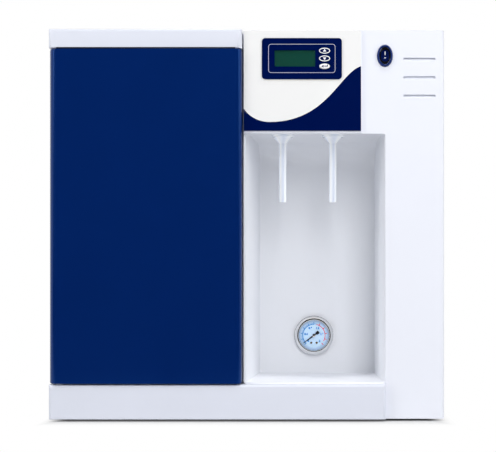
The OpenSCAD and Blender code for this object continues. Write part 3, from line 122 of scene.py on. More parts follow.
class Wiring:
    """Short ways to wire the nodes of one material."""

    def __init__(self, tree: bpy.types.NodeTree) -> None:
        """Start on a tree and clear it."""
        self.tree = tree
        tree.nodes.clear()

    def add(self, kind: str, values: Mapping[str, Value] | None = None) -> bpy.types.Node:
        """Add a node.

        Args:
            kind: its kind.
            values: what its inputs hold, by their names.

        Returns:
            The node.
        """
        node = self.tree.nodes.new(f"ShaderNode{kind}")
        for name, value in (values or {}).items():
            node.inputs[name].default_value = value
        return node

    def join(self, source: Socket, target: Socket) -> None:
        """Link two sockets."""
        self.tree.links.new(source, target)

    def show(self, surface: Socket, output: str = "OutputMaterial") -> None:
        """Join a surface to the output."""
        self.join(surface, self.add(output).inputs["Surface"])

    def place(self, stretch: Sequence[float] = (1, 1, 1), turn: Sequence[float] = (0, 0, 0),
              shift: Sequence[float] = (0, 0, 0)) -> Socket:
        """Give the object coordinates, stretched, turned and shifted.

        Args:
            stretch: scale of the pattern along each axis.
            turn: turn of the pattern, in radians.
            shift: what is added to the coordinates.

        Returns:
            The socket with the coordinates.
        """
        coords = self.add("TexCoord").outputs["Object"]
        if (*stretch, *turn, *shift) == (1, 1, 1, 0, 0, 0, 0, 0, 0):
            return coords
        mapping = self.add("Mapping", {"Location": shift, "Scale": stretch, "Rotation": turn})
        self.join(coords, mapping.inputs["Vector"])
        return mapping.outputs["Vector"]

    def texture(self, kind: str, values: Mapping[str, Value], place: Socket | None = None) -> bpy.types.Node:
        """Add a texture.

        Args:
            kind: its kind.
            values: what its inputs hold, by their names.
            place: coordinates it lies on, or nothing for plain object coordinates.

        Returns:
            The texture's node.
        """
        node = self.add(kind, values)
        self.join(self.place() if place is None else place, node.inputs["Vector"])
        return node

    def gradient(self, kind: str, place: Socket) -> Socket:
        """Add a gradient.

        Args:
            kind: its kind.
            place: coordinates it lies on.

        Returns:
            The socket with the share along it.
        """
        node = self.texture("TexGradient", {}, place)
        node.gradient_type = kind
        return node.outputs["Fac"]

    def mix(self, share: Socket, low: Colour, high: Colour) -> Socket:
        """Mix two colours.

        Args:
            share: how much there is of the second, from 0 to 1.
            low: the first colour.
            high: the second.

        Returns:
            The socket with the colour.
        """
        node = self.add("Mix")
        node.data_type = "RGBA"
        sockets = [s for s in node.inputs if s.name in ("A", "B") and s.type == "RGBA"]
        for socket, colour in zip(sockets, (low, high)):
            socket.default_value = (*(max(0.0, min(1.0, c)) for c in colour), 1.0)
        self.join(share, node.inputs["Factor"])
        return next(s for s in node.outputs if s.type == "RGBA")

    def blend(self, share: Socket, first: Socket, second: Socket) -> Socket:
        """Mix two surfaces.

        Args:
            share: how much there is of the second, from 0 to 1.
            first: the first surface.
            second: the second.

        Returns:
            The socket with the surface.
        """
        node = self.add("MixShader")
        for source, target in zip((share, first, second), node.inputs):
            self.join(source, target)
        return node.outputs["Shader"]

    def span(self, value: Socket, low: float, high: float, start: float = 0.0, end: float = 1.0,
             kind: str = "LINEAR") -> Socket:
        """Spread a value between two others.

        Args:
            value: the value.
            low: what it becomes at start, not below 0.
            high: what it becomes at end, not above 1.
            start: where it starts.
            end: where it ends.
            kind: how it goes from one to the other.

        Returns:
            The socket with the result.
        """
        node = self.add("MapRange", {
            "From Min": start, "From Max": end, "To Min": max(0.0, low), "To Max": min(1.0, high),
        })
        node.interpolation_type = kind
        self.join(value, node.inputs["Value"])
        return node.outputs["Result"]

    def sum(self, kind: str, *terms: Socket | float) -> Socket:
        """Add a sum.

        Args:
            kind: its kind.
            terms: sockets or plain numbers that go into it.

        Returns:
            The socket with the result.
        """
        node = self.add("Math")
        node.operation = kind
        for socket, term in zip(node.inputs, terms):
            if isinstance(term, Socket):
                self.join(term, socket)
            else:
                socket.default_value = term
        return node.outputs["Value"]

    def bump(self, height: Socket, depth: float) -> Socket:
        """Turn a height into a normal.

        Args:
            height: the height, from 0 to 1.
            depth: how high 1 is.

        Returns:
            The socket with the normal.
        """
        node = self.add("Bump", {"Strength": 1.0, "Distance": depth})
        self.join(height, node.inputs["Height"])
        return node.outputs["Normal"]


class Grain(Enum):
    """Kinds of fine relief that a surface can have."""

    SMOOTH = "smooth"
    SPARK = "spark-eroded mould"
    PEEL = "powder coat"
    BRUSHED = "brushed"
    BEADS = "beads"


@dataclass(frozen=True)
class Finish:
    """A surface of one material, with its fine relief and its slight unevenness.

    Attributes:
        slot: material slot of the record that the finish belongs to.
        colour: base colour, linear.
        roughness: middle of the roughness, which wanders a little.
        grain: kind of fine relief.
        grain_size: distance between the grains, in metres.
        grain_depth: height of the grains, in metres.
        uneven: share by which the colour wanders.
        metallic: 1 for bare metal.
        specular: specular level of the shader.
        gloss: colour of its gloss seen head on.
        painted_glow: strength of light painted into the surface in its own colour, though it is no lamp.
        coat: weight of a clear coat.
        transmission: share of light that goes through.
        ior: index of refraction.
        scatter: share of light that scatters below the surface.
        alpha: share of the surface that hides what is behind it.
        look: name of its material where the slot has more than one.
    """

    slot: str
    colour: Colour
    roughness: float = 0.45
    grain: Grain = Grain.SMOOTH
    grain_size: float = 0.8 * MM
    grain_depth: float = 0.02 * MM
    uneven: float = 0.03
    metallic: float = 0.0
    specular: float = 0.5
    gloss: Colour = (1.0, 1.0, 1.0)
    painted_glow: float = 0.0
    coat: float = 0.0
    transmission: float = 0.0
    ior: float = 1.46
    scatter: float = 0.0
    alpha: float = 1.0
    look: str = ""

    ROUGHNESS_SWING = 0.05
    COAT_ROUGHNESS = 0.08
    SCATTER_RADIUS = (0.8, 0.9, 1.0)
    SCATTER_SCALE = 2 * MM
    CLOUD_SIZE = 60 * MM
    CLOUD_DETAIL = 3.0
    GRAIN_DETAIL = {Grain.PEEL: 1.0, Grain.BRUSHED: 2.0, Grain.SPARK: 4.0}
    BRUSH_STRETCH = 40.0

    def material(self) -> bpy.types.Material:
        """Give the finish's material, made on its first use.

        Returns:
            The material.
        """
        name = f"{self.look or self.slot}_look"
        found = bpy.data.materials.get(name)
        if found:
            return found
        made = bpy.data.materials.new(name)
        made.use_nodes = True
        wiring = Wiring(made.node_tree)
        shader = wiring.add("BsdfPrincipled", self.constants())
        wiring.show(shader.outputs["BSDF"])
        self.wire_colour(wiring, shader)
        self.wire_relief(wiring, shader)
        return made

    def constants(self) -> dict[str, Value]:
        """Give what is the same all over.

        Returns:
            The values by the names of the shader's own sockets.
        """
        return {
            "Roughness": self.roughness,
            "Metallic": self.metallic,
            "Specular IOR Level": self.specular,
            "Specular Tint": (*self.gloss, 1.0),
            # Emission paints light into the surface in its own colour: painted light, not a lamp.
            "Emission Color": (*self.colour, 1.0),
            "Emission Strength": self.painted_glow,
            "Coat Weight": self.coat,
            "Coat Roughness": self.COAT_ROUGHNESS,
            "Transmission Weight": self.transmission,
            "IOR": self.ior,
            "Subsurface Weight": self.scatter,
            "Subsurface Radius": self.SCATTER_RADIUS,
            "Subsurface Scale": self.SCATTER_SCALE,
            "Alpha": self.alpha,
        }

    def wire_colour(self, wiring: Wiring, shader: bpy.types.Node) -> None:
        """Let colour and roughness wander in wide soft clouds.

        Args:
            wiring: wiring of the material.
            shader: its surface shader.
        """
        values = {"Scale": 1 / self.CLOUD_SIZE, "Detail": self.CLOUD_DETAIL}
        cloud = wiring.texture("TexNoise", values).outputs["Fac"]
        low, high = (tuple(c * (1 + sign * self.uneven) for c in self.colour) for sign in (-1, 1))
        wiring.join(wiring.mix(cloud, low, high), shader.inputs["Base Color"])
        swing = self.ROUGHNESS_SWING
        rough = wiring.span(cloud, self.roughness - swing, self.roughness + swing)
        wiring.join(rough, shader.inputs["Roughness"])

    def wire_relief(self, wiring: Wiring, shader: bpy.types.Node) -> None:
        """Give the surface its grain as a bump.

        Args:
            wiring: wiring of the material.
            shader: its surface shader.
        """
        if self.grain is Grain.SMOOTH:
            return
        scale = 1 / self.grain_size
        if self.grain is Grain.BEADS:
            height = wiring.texture("TexVoronoi", {"Scale": scale}).outputs["Distance"]
        else:
            stretch = (1 / self.BRUSH_STRETCH, 1, 1) if self.grain is Grain.BRUSHED else (1, 1, 1)
            values = {"Scale": scale, "Detail": self.GRAIN_DETAIL[self.grain]}
            height = wiring.texture("TexNoise", values, wiring.place(stretch)).outputs["Fac"]
        wiring.join(wiring.bump(height, self.grain_depth), shader.inputs["Normal"])


@dataclass(frozen=True)
class LiquidCrystal(Finish):
    """The dark green glass of a liquid crystal display, with its grid of cells.

    Attributes:
        cell: width of a cell, in metres.
        gap: width of the gaps, as a share of a cell.
        second_shade: how bright the darker cells are, as a share.
        gap_shade: how bright the gaps are, as a share.
    """

    cell: float = 0.55 * MM
    gap: float = 0.05
    second_shade: float = 0.94
    gap_shade: float = 0.7

    def wire_colour(self, wiring: Wiring, shader: bpy.types.Node) -> None:
        """Set the cells a little lighter than the gaps between them.

        Args:
            wiring: wiring of the material.
            shader: its surface shader.
        """
        shades = (1.0, self.second_shade, self.gap_shade)
        first, second, gap = ((*(c * shade for c in self.colour), 1.0) for shade in shades)
        bricks = wiring.texture("TexBrick", {
            "Scale": 1 / self.cell, "Mortar Size": self.gap, "Brick Width": 1.0, "Row Height": 1.0,
            "Color1": first, "Color2": second, "Mortar": gap,
        }, wiring.place(turn=(math.pi / 2, 0, 0)))
        bricks.offset = 0.0
        wiring.join(bricks.outputs["Color"], shader.inputs["Base Color"])


@dataclass(frozen=True)
class ResinBed(Finish):
    """Ion exchange beads seen through the clear wall of their column.

    Attributes:
        second: colour of the second sort of bead.
    """

    second: Colour = (0.55, 0.30, 0.09)

    def wire_colour(self, wiring: Wiring, shader: bpy.types.Node) -> None:
        """Mix two sorts of bead, one cell of the pattern for each bead.

        Args:
            wiring: wiring of the material.
            shader: its surface shader.
        """
        beads = wiring.texture("TexVoronoi", {"Scale": 1 / self.grain_size})
        tint = wiring.add("SeparateColor")
        wiring.join(beads.outputs["Color"], tint.inputs["Color"])
        wiring.join(wiring.mix(tint.outputs["Red"], self.colour, self.second), shader.inputs["Base Color"])


@dataclass(frozen=True)
class BandedSheenPlastic(Finish):
    """Natural plastic with pale and dark bands down an upright axis: painted reflections with painted shade
    between them.

    Attributes:
        axis: place of the axis along X and Y.
        band_shade: colour of the darker bands, painted shade between the painted reflections.
        sheen_bands: number of waves of pale and dark painted bands round the axis.
        sheen_turn: start of their wave, in radians, which sets where the painted bands fall.
    """

    axis: Point = (0.0, 0.0)
    band_shade: Colour = (0.70, 0.76, 0.90)
    sheen_bands: int = 4
    sheen_turn: float = -2.1

    def wire_colour(self, wiring: Wiring, shader: bpy.types.Node) -> None:
        """Let the colour change round the axis, in bands of painted reflection and painted shade.

        Args:
            wiring: wiring of the material.
            shader: its surface shader.
        """
        around = wiring.gradient("RADIAL", wiring.place(shift=(-self.axis[0], -self.axis[1], 0.0)))
        wave = wiring.sum("MULTIPLY_ADD", around, math.tau * self.sheen_bands, self.sheen_turn)
        share = wiring.span(wiring.sum("SINE", wave), 0.0, 1.0, -1.0)
        # Pale and dark bands: painted reflections and painted shade.
        wiring.join(wiring.mix(share, self.band_shade, self.colour), shader.inputs["Base Color"])


@dataclass(frozen=True)
class DialPaper(Finish):
    """The printed face of a gauge, pale in the middle, with painted shade of the bezel's rim that darkens it
    towards its edge.

    Attributes:
        axis: place of the dial's axis along X and Z.
        radius: radius of the dial.
        rim_shade: colour of the painted shade of the bezel's rim, at the dial's edge.
        rim_shade_from: share of the radius where the painted shade starts.
    """

    axis: Point = (0.0, 0.0)
    radius: float = 20.0 * MM
    rim_shade: Colour = (0.30, 0.44, 0.67)
    rim_shade_from: float = 0.75

    def wire_colour(self, wiring: Wiring, shader: bpy.types.Node) -> None:
        """Blend the middle into the painted rim shade by the distance from the dial's axis.

        Args:
            wiring: wiring of the material.
            shader: its surface shader.
        """
        unit = 1 / self.radius
        shift = (-self.axis[0] * unit, 0.0, -self.axis[1] * unit)
        inward = wiring.gradient("SPHERICAL", wiring.place(stretch=(unit, 0.0, unit), shift=shift))
        # The darker edge is painted shade of the bezel's rim.
        share = wiring.span(inward, 0.0, 1.0, 0.0, 1 - self.rim_shade_from)
        wiring.join(wiring.mix(share, self.rim_shade, self.colour), shader.inputs["Base Color"])


CABINET = Finish("cabinet_white", (0.68, 0.705, 0.79), 0.45, Grain.PEEL, 1.6 * MM, 0.03 * MM, 0.012)
TRIM = Finish("trim_white", (0.68, 0.705, 0.79), 0.40, Grain.SPARK, 0.7 * MM, 0.012 * MM, 0.012)
PANEL = Finish("panel_white", (0.785, 0.805, 0.88), 0.40, Grain.SPARK, 0.6 * MM, 0.010 * MM, 0.010)
# The niche's white is a paler copy of the panel's white: painted light that lifts the recess out of its
# shade.
NICHE_BRIGHTENED = replace(PANEL, colour=(0.90, 0.915, 0.955), look="niche_white_brightened")
DOOR_BLUE = Finish("door_blue", (0.001, 0.0148, 0.105), 0.14, Grain.PEEL, 1.4 * MM, 0.003 * MM, 0.05,
                   specular=1.0, gloss=(0.06, 0.25, 0.75))
NAVY = Finish("navy_plastic", (0.0, 0.0045, 0.056), 0.12, Grain.SPARK, 0.5 * MM, 0.001 * MM, 0.05,
              specular=0.06)
FILM = Finish("print_film", (0.80, 0.80, 0.80), 0.30, Grain.SPARK, 0.4 * MM, 0.004 * MM, 0.008)
LCD = LiquidCrystal("lcd_green", (0.007, 0.066, 0.047), 0.30, specular=0.05)
CLEAR = Finish("clear_plastic", (0.01, 0.012, 0.012), 0.06, uneven=0.05, specular=0.05, alpha=0.06)
GLASS = Finish("gauge_glass", (0.30, 0.32, 0.34), 0.05, uneven=0.05, specular=0.6, alpha=0.02)
BLACK = Finish("black_plastic", (0.004, 0.004, 0.005), 0.36, Grain.SPARK, 0.6 * MM, 0.008 * MM, 0.06,
               specular=0.1)
SWITCH_BLUE = Finish("switch_blue", (0.001, 0.018, 0.125), 0.14, uneven=0.04, specular=0.4)
ROCKER_BLUE = Finish("switch_blue", (0.001, 0.006, 0.06), 0.18, uneven=0.04, specular=0.2, look="rocker_blue")
POLISHED = Finish("polished_steel", (0.80, 0.80, 0.80), 0.07, uneven=0.01, metallic=1.0)
ZINC = Finish("zinc_steel", (0.62, 0.63, 0.65), 0.34, Grain.BRUSHED, 0.5 * MM, 0.004 * MM, 0.04, metallic=1.0)
# The dial's darker edge is painted shade, and its emission is painted light, though the dial is no lamp.
DIAL = DialPaper("dial_face", (0.59, 0.78, 1.0), 0.45, specular=0.15, painted_glow=0.2)
POINTER = Finish("pointer_black", (0.005, 0.005, 0.006), 0.35, uneven=0.05, specular=0.1)
BRASS = Finish("brass_screws", (0.36, 0.29, 0.13), 0.32, uneven=0.05, metallic=1.0)
# The tubes' emission is painted light, though they are no lamp.
NATURAL = Finish("spout_natural", (0.92, 0.965, 1.0), 0.13, uneven=0.01, specular=1.0, painted_glow=0.08,
                 transmission=0.04, ior=1.45, scatter=0.1, look="tube_natural")
# The spouts wear painted reflections and shade in bands round their axis, and emission that is painted light,
# though they are no lamp.
SPOUT = BandedSheenPlastic("spout_natural", (0.95, 0.975, 1.0), 0.13, specular=1.0, painted_glow=0.13, transmission=0.04,
                    ior=1.45, scatter=0.05)
FILTER_WHITE = Finish("filter_white", (0.80, 0.81, 0.82), 0.34, Grain.SPARK, 0.8 * MM, 0.012 * MM, 0.015)
FILTER_BLUE = Finish("filter_blue", (0.01, 0.10, 0.42), 0.32, Grain.SPARK, 0.8 * MM, 0.012 * MM, 0.03)
RESIN = ResinBed("resin_clear", (0.30, 0.12, 0.03), 0.35, Grain.BEADS, 1.1 * MM, 0.08 * MM, coat=1.0)
BOARD = Finish("board_green", (0.01, 0.10, 0.05), 0.35, Grain.PEEL, 2.0 * MM, 0.02 * MM, 0.12, coat=0.3)
MOTOR = Finish("motor_black", (0.020, 0.020, 0.022), 0.42, Grain.PEEL, 1.2 * MM, 0.03 * MM, 0.06)
RUBBER = Finish("foot_rubber", (0.018, 0.018, 0.018), 0.75, Grain.SPARK, 0.6 * MM, 0.02 * MM, 0.08,
                specular=0.3)
INK_RED = Finish("dial_face", (0.95, 0.07, 0.09), 0.5, uneven=0.02, specular=0.05, look="ink_red")
INK_BLUE = Finish("dial_face", (0.0, 0.29, 0.76), 0.5, uneven=0.02, specular=0.05, look="ink_blue")
INK_NAVY = Finish("navy_plastic", (0.0, 0.0048, 0.058), 0.12, uneven=0.04, specular=0.03, look="ink_navy")
INK_WHITE = Finish("print_film", (0.85, 0.85, 0.88), 0.40, uneven=0.01, look="ink_white")
INK_PALE = Finish("print_film", (0.46, 0.46, 0.58), 0.40, uneven=0.02, look="ink_pale")


# Workpieces


class Workpiece:
    """A mesh in the making, in metres, that operators shape before it is set down as one object.

    Attributes:
        MERGE: distance at which vertices are merged.
        FLAT: turn below which neighbouring faces count as one.
        SHARP: turn above which an edge is sharp.
        EDGE_STEPS: faces across a fine rounding.
    """

    MERGE = 1e-6
    FLAT = math.radians(0.4)
    SHARP = math.radians(34)
    EDGE_STEPS = 2

    def __init__(self) -> None:
        """Start with nothing."""
        self.bm = bmesh.new()

    def copy(self, node: str) -> None:
        """Take in a node's mesh with its doubles merged."""
        self.bm.from_mesh(frame["nodes"][node].data)
        bmesh.ops.remove_doubles(self.bm, verts=self.bm.verts, dist=self.MERGE)

    def take(self, curve: bpy.types.Curve, place: Matrix) -> None:
        """Take in a curve's mesh, turned upright and moved to its place.

        Args:
            curve: the curve or text, flat in its own X and Y, which is used up.
            place: where it goes, from its upright place at the origin.
        """
        holder = bpy.data.objects.new(curve.name, curve)
        mesh = bpy.data.meshes.new_from_object(holder)
        mesh.transform(place @ UPRIGHT)
        self.bm.from_mesh(mesh)
        bpy.data.objects.remove(holder)
        bpy.data.curves.remove(curve)
        bpy.data.meshes.remove(mesh)

    def block(self, low: Sequence[float], high: Sequence[float]) -> list[bmesh.types.BMVert]:
        """Add a block.

        Args:
            low: its lowest corner.
            high: its highest corner.

        Returns:
            Its vertices.
        """
        low, high = Vector(low), Vector(high)
        verts = bmesh.ops.create_cube(self.bm, size=1.0)["verts"]
        bmesh.ops.scale(self.bm, vec=high - low, verts=verts)
        bmesh.ops.translate(self.bm, vec=(low + high) / 2, verts=verts)
        return verts

    def soft_block(self, low: Sequence[float], high: Sequence[float], radius: float, steps: int = 2) -> None:
        """Add a block with all its edges rounded."""
        verts = self.block(low, high)
        self.round(list({e for v in verts for e in v.link_edges}), radius, steps)

    def round(self, geom: Geom, radius: float, steps: int, affect: str = "EDGES") -> None:
        """Round edges, or the corners of a flat face, by a radius."""
        bmesh.ops.bevel(
            self.bm, geom=geom, offset=radius, offset_type="OFFSET", affect=affect, segments=steps,
            profile=0.5, material=-1, clamp_overlap=True,
        )

    def turned(self, profile: Sequence[Point], centre: Sequence[float], axis: Vector,
               steps: int = 64) -> None:
        """Turn a profile about an axis.

        Args:
            profile: pairs of radius and distance along the axis.
            centre: point on the axis at distance 0.
            axis: direction of the axis.
            steps: number of faces round the axis.
        """
        centre = Vector(centre)
        side = axis.orthogonal().normalized()
        verts = [self.bm.verts.new(centre + side * r + axis * along) for r, along in profile]
        edges = [self.bm.edges.new(pair) for pair in zip(verts, verts[1:])]
        bmesh.ops.spin(
            self.bm, geom=verts + edges, cent=centre, axis=axis, angle=math.tau, steps=steps, use_merge=True,
        )
        self.heal()

    def sheet(self, low: Point, high: Point, y: float, radius: float = 0.0, steps: int = 8) -> Faces:
        """Add an upright flat face across Y.

        Args:
            low: X and Z of its lower left corner.
            high: X and Z of its upper right corner.
            y: place of the face.
            radius: radius of its corners.
            steps: faces round each corner.

        Returns:
            The face, in a list.
        """
        before = set(self.bm.faces)
        verts = bmesh.ops.create_grid(self.bm, x_segments=1, y_segments=1, size=0.5, matrix=UPRIGHT)["verts"]
        bmesh.ops.scale(self.bm, vec=(high[0] - low[0], 1.0, high[1] - low[1]), verts=verts)
        bmesh.ops.translate(self.bm, vec=((low[0] + high[0]) / 2, y, (low[1] + high[1]) / 2), verts=verts)
        if radius:
            self.round(verts, radius, steps, "VERTICES")
        return [f for f in self.bm.faces if f not in before]

    def disc(self, place: Matrix, radius: float, corners: int) -> Faces:
        """Add an upright flat face with its corners on a circle, moved to its place, in a list."""
        verts = bmesh.ops.create_circle(
            self.bm, cap_ends=True, radius=radius, segments=corners, matrix=place @ UPRIGHT,
        )["verts"]
        return verts[0].link_faces[:]

    def thicken(self, faces: Faces, thickness: float) -> None:
        """Make flat faces a plate, thick towards the front.

        Args:
            faces: the faces.
            thickness: thickness of the plate.
        """
        out = bmesh.ops.extrude_face_region(self.bm, geom=faces)["geom"]
        verts = [g for g in out if isinstance(g, bmesh.types.BMVert)]
        bmesh.ops.translate(self.bm, vec=FRONT * thickness, verts=verts)

    def band(self, faces: Faces, width: float, thickness: float) -> None:
        """Make a flat face a closed band just inside its outline.

        Args:
            faces: the face, in a list.
            width: width of the band.
            thickness: thickness of the band.
        """
        for face in faces:
            face.normal_update()
        ring = bmesh.ops.inset_region(
            self.bm, faces=faces, thickness=width, use_boundary=True, use_even_offset=True,
        )["faces"]
        bmesh.ops.delete(self.bm, geom=faces, context="FACES")
        self.thicken(ring, thickness)

    def dome(self, faces: Faces, rungs: Sequence[Point], closed: bool = True) -> None:
        """Raise a flat face's outline from rung to rung towards the front.

        Args:
            faces: the face, at inset and height 0.
            rungs: pairs of inset from the outline and height.
            closed: whether the last rung is filled.
        """
        verts = {v for f in faces for v in f.verts}
        edges = list({e for f in faces for e in f.edges})
        bmesh.ops.delete(self.bm, geom=faces, context="FACES_ONLY")
        low = Vector([min(v.co[i] for v in verts) for i in range(3)])
        high = Vector([max(v.co[i] for v in verts) for i in range(3)])
        centre, half = (low + high) / 2, (high - low) / 2
        last = (0.0, 0.0)
        for i, rung in enumerate(rungs):
            if i:
                made = bmesh.ops.extrude_edge_only(self.bm, edges=edges)["geom"]
                edges = [g for g in made if isinstance(g, bmesh.types.BMEdge)]
                verts = {v for e in edges for v in e.verts}
            share = [(h - rung[0]) / (h - last[0]) for h in (half.x, half.z)]
            bmesh.ops.scale(
                self.bm, vec=(share[0], 1.0, share[1]), space=Matrix.Translation(-centre), verts=list(verts),
            )
            bmesh.ops.translate(self.bm, vec=FRONT * (rung[1] - last[1]), verts=list(verts))
            last = rung
        if closed:
            bmesh.ops.contextual_create(self.bm, geom=edges)
        self.heal()

    def turn(self, angle: float, axis: str, centre: Sequence[float]) -> None:
        """Turn the whole piece about an axis through a point."""
        bmesh.ops.rotate(
            self.bm, cent=Vector(centre), matrix=Matrix.Rotation(angle, 3, axis), verts=self.bm.verts,
        )

    def heal(self) -> None:
        """Merge doubles and turn the faces outwards."""
        bmesh.ops.remove_doubles(self.bm, verts=self.bm.verts, dist=self.MERGE)
        bmesh.ops.recalc_face_normals(self.bm, faces=self.bm.faces)

    def set_down(self, name: str, body: str, finish: Finish, nodes: Sequence[str] = (), edge: float = 0.0,
                 turn_out: bool = True) -> bpy.types.Object:
        """Make the piece an object that rides on a body.

        Args:
            name: name of the piece.
            body: body of the frame that carries it.
            finish: its surface.
            nodes: nodes of the frame that it stands for.
            edge: width of a fine rounding on its sharp edges, or 0.
            turn_out: whether its faces still have to be turned outwards.

        Returns:
            The object.
        """
        if turn_out:
            bmesh.ops.recalc_face_normals(self.bm, faces=self.bm.faces)
        mesh = bpy.data.meshes.new(name)
        self.bm.to_mesh(mesh)
        self.bm.free()
        mesh.shade_smooth()
        mesh.set_sharp_from_angle(angle=self.SHARP)
        mesh.materials.append(finish.material())
        piece = bpy.data.objects.new(name, mesh)
        bpy.context.scene.collection.objects.link(piece)
        if edge:
            rounding = piece.modifiers.new("fine_edge", "BEVEL")
            rounding.width = edge
            rounding.segments = self.EDGE_STEPS
            rounding.limit_method = "ANGLE"
            rounding.angle_limit = self.SHARP
            rounding.harden_normals = True
        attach(piece, body)
        if nodes:
            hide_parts(*nodes)
        LOG.info("%s rides on %s, finish %s, edge %.1f mm", name, body, finish.slot, edge / MM)
        return piece


def soften(node: str, finish: Finish, edge: float) -> bpy.types.Object:
    """Set down a merged copy of a node with fine rounded edges in its place.

    Args:
        node: name of the node.
        finish: its surface.
        edge: width of the rounding, or 0.

    Returns:
        The object that stands for the node.
    """
    piece = Workpiece()
    piece.copy(node)
    bmesh.ops.dissolve_limit(piece.bm, angle_limit=piece.FLAT, verts=piece.bm.verts, edges=piece.bm.edges)
    return piece.set_down(f"{node}_soft", body_of(node), finish, [node], edge, turn_out=False)


def push(piece: bpy.types.Object, shift: Sequence[float],
         share: Callable[[bmesh.types.BMVert], bool]) -> None:
    """Move some of a piece's vertices.

    Args:
        piece: the piece.
        shift: how far they move.
        share: tells which vertices move.
    """
    bm = bmesh.new()
    bm.from_mesh(piece.data)
    bmesh.ops.translate(bm, vec=shift, verts=[v for v in bm.verts if share(v)])
    bm.to_mesh(piece.data)
    bm.free()


# Sub-assemblies


SoftNodes = tuple[tuple[str, Finish, float], ...]


@dataclass
class SubAssembly:
    """A group of pieces of the object.

    Attributes:
        soft: nodes that keep their shape, each with its finish and the rounding of its edges.
    """

    soft: SoftNodes = ()

    def build(self) -> None:
        """Dress the nodes that keep their shape, then make the other pieces."""
        for node, finish, edge in self.soft:
            soften(node, finish, edge)
        self.make()

    def make(self) -> None:
        """Make the pieces that aren't softened nodes, here none."""


@dataclass
class Cabinet(SubAssembly):
    """The sheet-metal case with its moulded front trim, feet and rear fittings.

    Attributes:
        shade_strip_t: how far the black strip of painted gap shade hangs below the strip above the door.
        shade_strip_rise: how far it reaches up in front of the strip.
        shade_strip_proud: how far it stands in front of the strip.
        shade_strip_end: distance from its ends to the door's edges.
        shade_strip_r: its edge radius.
        baffle_low: distance from the column's right and top edges to the baffle's lower left corner.
        baffle_high: distance from these edges to its upper right corner.
        baffle_t: its thickness.
        baffle_r: its edge radius.
    """

    soft: SoftNodes = (
        ("base_pan", CABINET, 0.5 * MM),
        ("left_side_panel", CABINET, 0.5 * MM),
        ("right_side_panel", CABINET, 0.5 * MM),
        ("top_cover", CABINET, 0.5 * MM),
        ("rear_panel", CABINET, 0.5 * MM),
        ("partition_wall", CABINET, 0.5 * MM),
        ("front_top_rail", TRIM, 0.7 * MM),
        ("front_plinth", TRIM, 1.2 * MM),
        ("right_column_cover", PANEL, 0.5 * MM),
        ("rubber_feet", RUBBER, 0.3 * MM),
        ("rear_screws", ZINC, 0.2 * MM),
        ("hinge_pins", ZINC, 0.2 * MM),
        ("hinge_washers", FILTER_WHITE, 0.1 * MM),
        ("catch_magnets", BLACK, 0.3 * MM),
    )
    shade_strip_t: float = 0.6 * MM
    shade_strip_rise: float = 0.9 * MM
    shade_strip_proud: float = 0.3 * MM
    shade_strip_end: float = 8.0 * MM
    shade_strip_r: float = 0.15 * MM
    baffle_low: Point = (52.0 * MM, 86.0 * MM)
    baffle_high: Point = (8.0 * MM, 22.0 * MM)
    baffle_t: float = 0.8 * MM
    baffle_r: float = 0.2 * MM

    def make(self) -> None:
        """Add the black strip of painted shade in the gap above the door, and the baffle behind the vent
        slots.
        """
        self.build_gap_shade()
        self.build_baffle()

    def build_gap_shade(self) -> None:
        """Stick a thin black strip on the lower edge of the strip above the door: painted shade where the gap
        over the door looks dark.
        """
        low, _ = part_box("front_top_rail")
        door_low, door_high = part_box("door_skin")
        left, right = door_low.x + self.shade_strip_end, door_high.x - self.shade_strip_end
        # A black strip that paints the shade of the gap above the door.
        shade_strip = Workpiece()
        shade_strip.soft_block((left, low.y - self.shade_strip_proud, low.z - self.shade_strip_t),
                        (right, door_high.y, low.z + self.shade_strip_rise), self.shade_strip_r)
        shade_strip.set_down("door_gap_shade", "cabinet", BLACK)

    def build_baffle(self) -> None:
        """Set a pale baffle behind the column's vent slots."""
        low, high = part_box("right_column_cover")
        back = low.y + TRIM_WALL
        baffle = Workpiece()
        baffle.soft_block((high.x - self.baffle_low[0], back, high.z - self.baffle_low[1]),
                          (high.x - self.baffle_high[0], back + self.baffle_t, high.z - self.baffle_high[1]),
                          self.baffle_r)
        baffle.set_down("vent_baffle", "cabinet", TRIM)


@dataclass
class Door(SubAssembly):
    """The hinged blue door with its inner liner and strike plates.

    Attributes:
        skin_edge: rounding of the skin's edges.
        skin_grow: how far its left edge reaches beyond its node.
    """

    soft: SoftNodes = (
        ("door_liner", TRIM, 0.5 * MM),
        ("door_strikes", ZINC, 0.2 * MM),
    )
    skin_edge: float = 1.0 * MM
    skin_grow: float = 0.9 * MM

    def make(self) -> None:
        """Set down the skin with its left edge moved out."""
        low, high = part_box("door_skin")
        skin = soften("door_skin", DOOR_BLUE, self.skin_edge)
        push(skin, (-self.skin_grow, 0.0, 0.0), lambda v: v.co.x < low.x + (high.y - low.y) / 2)


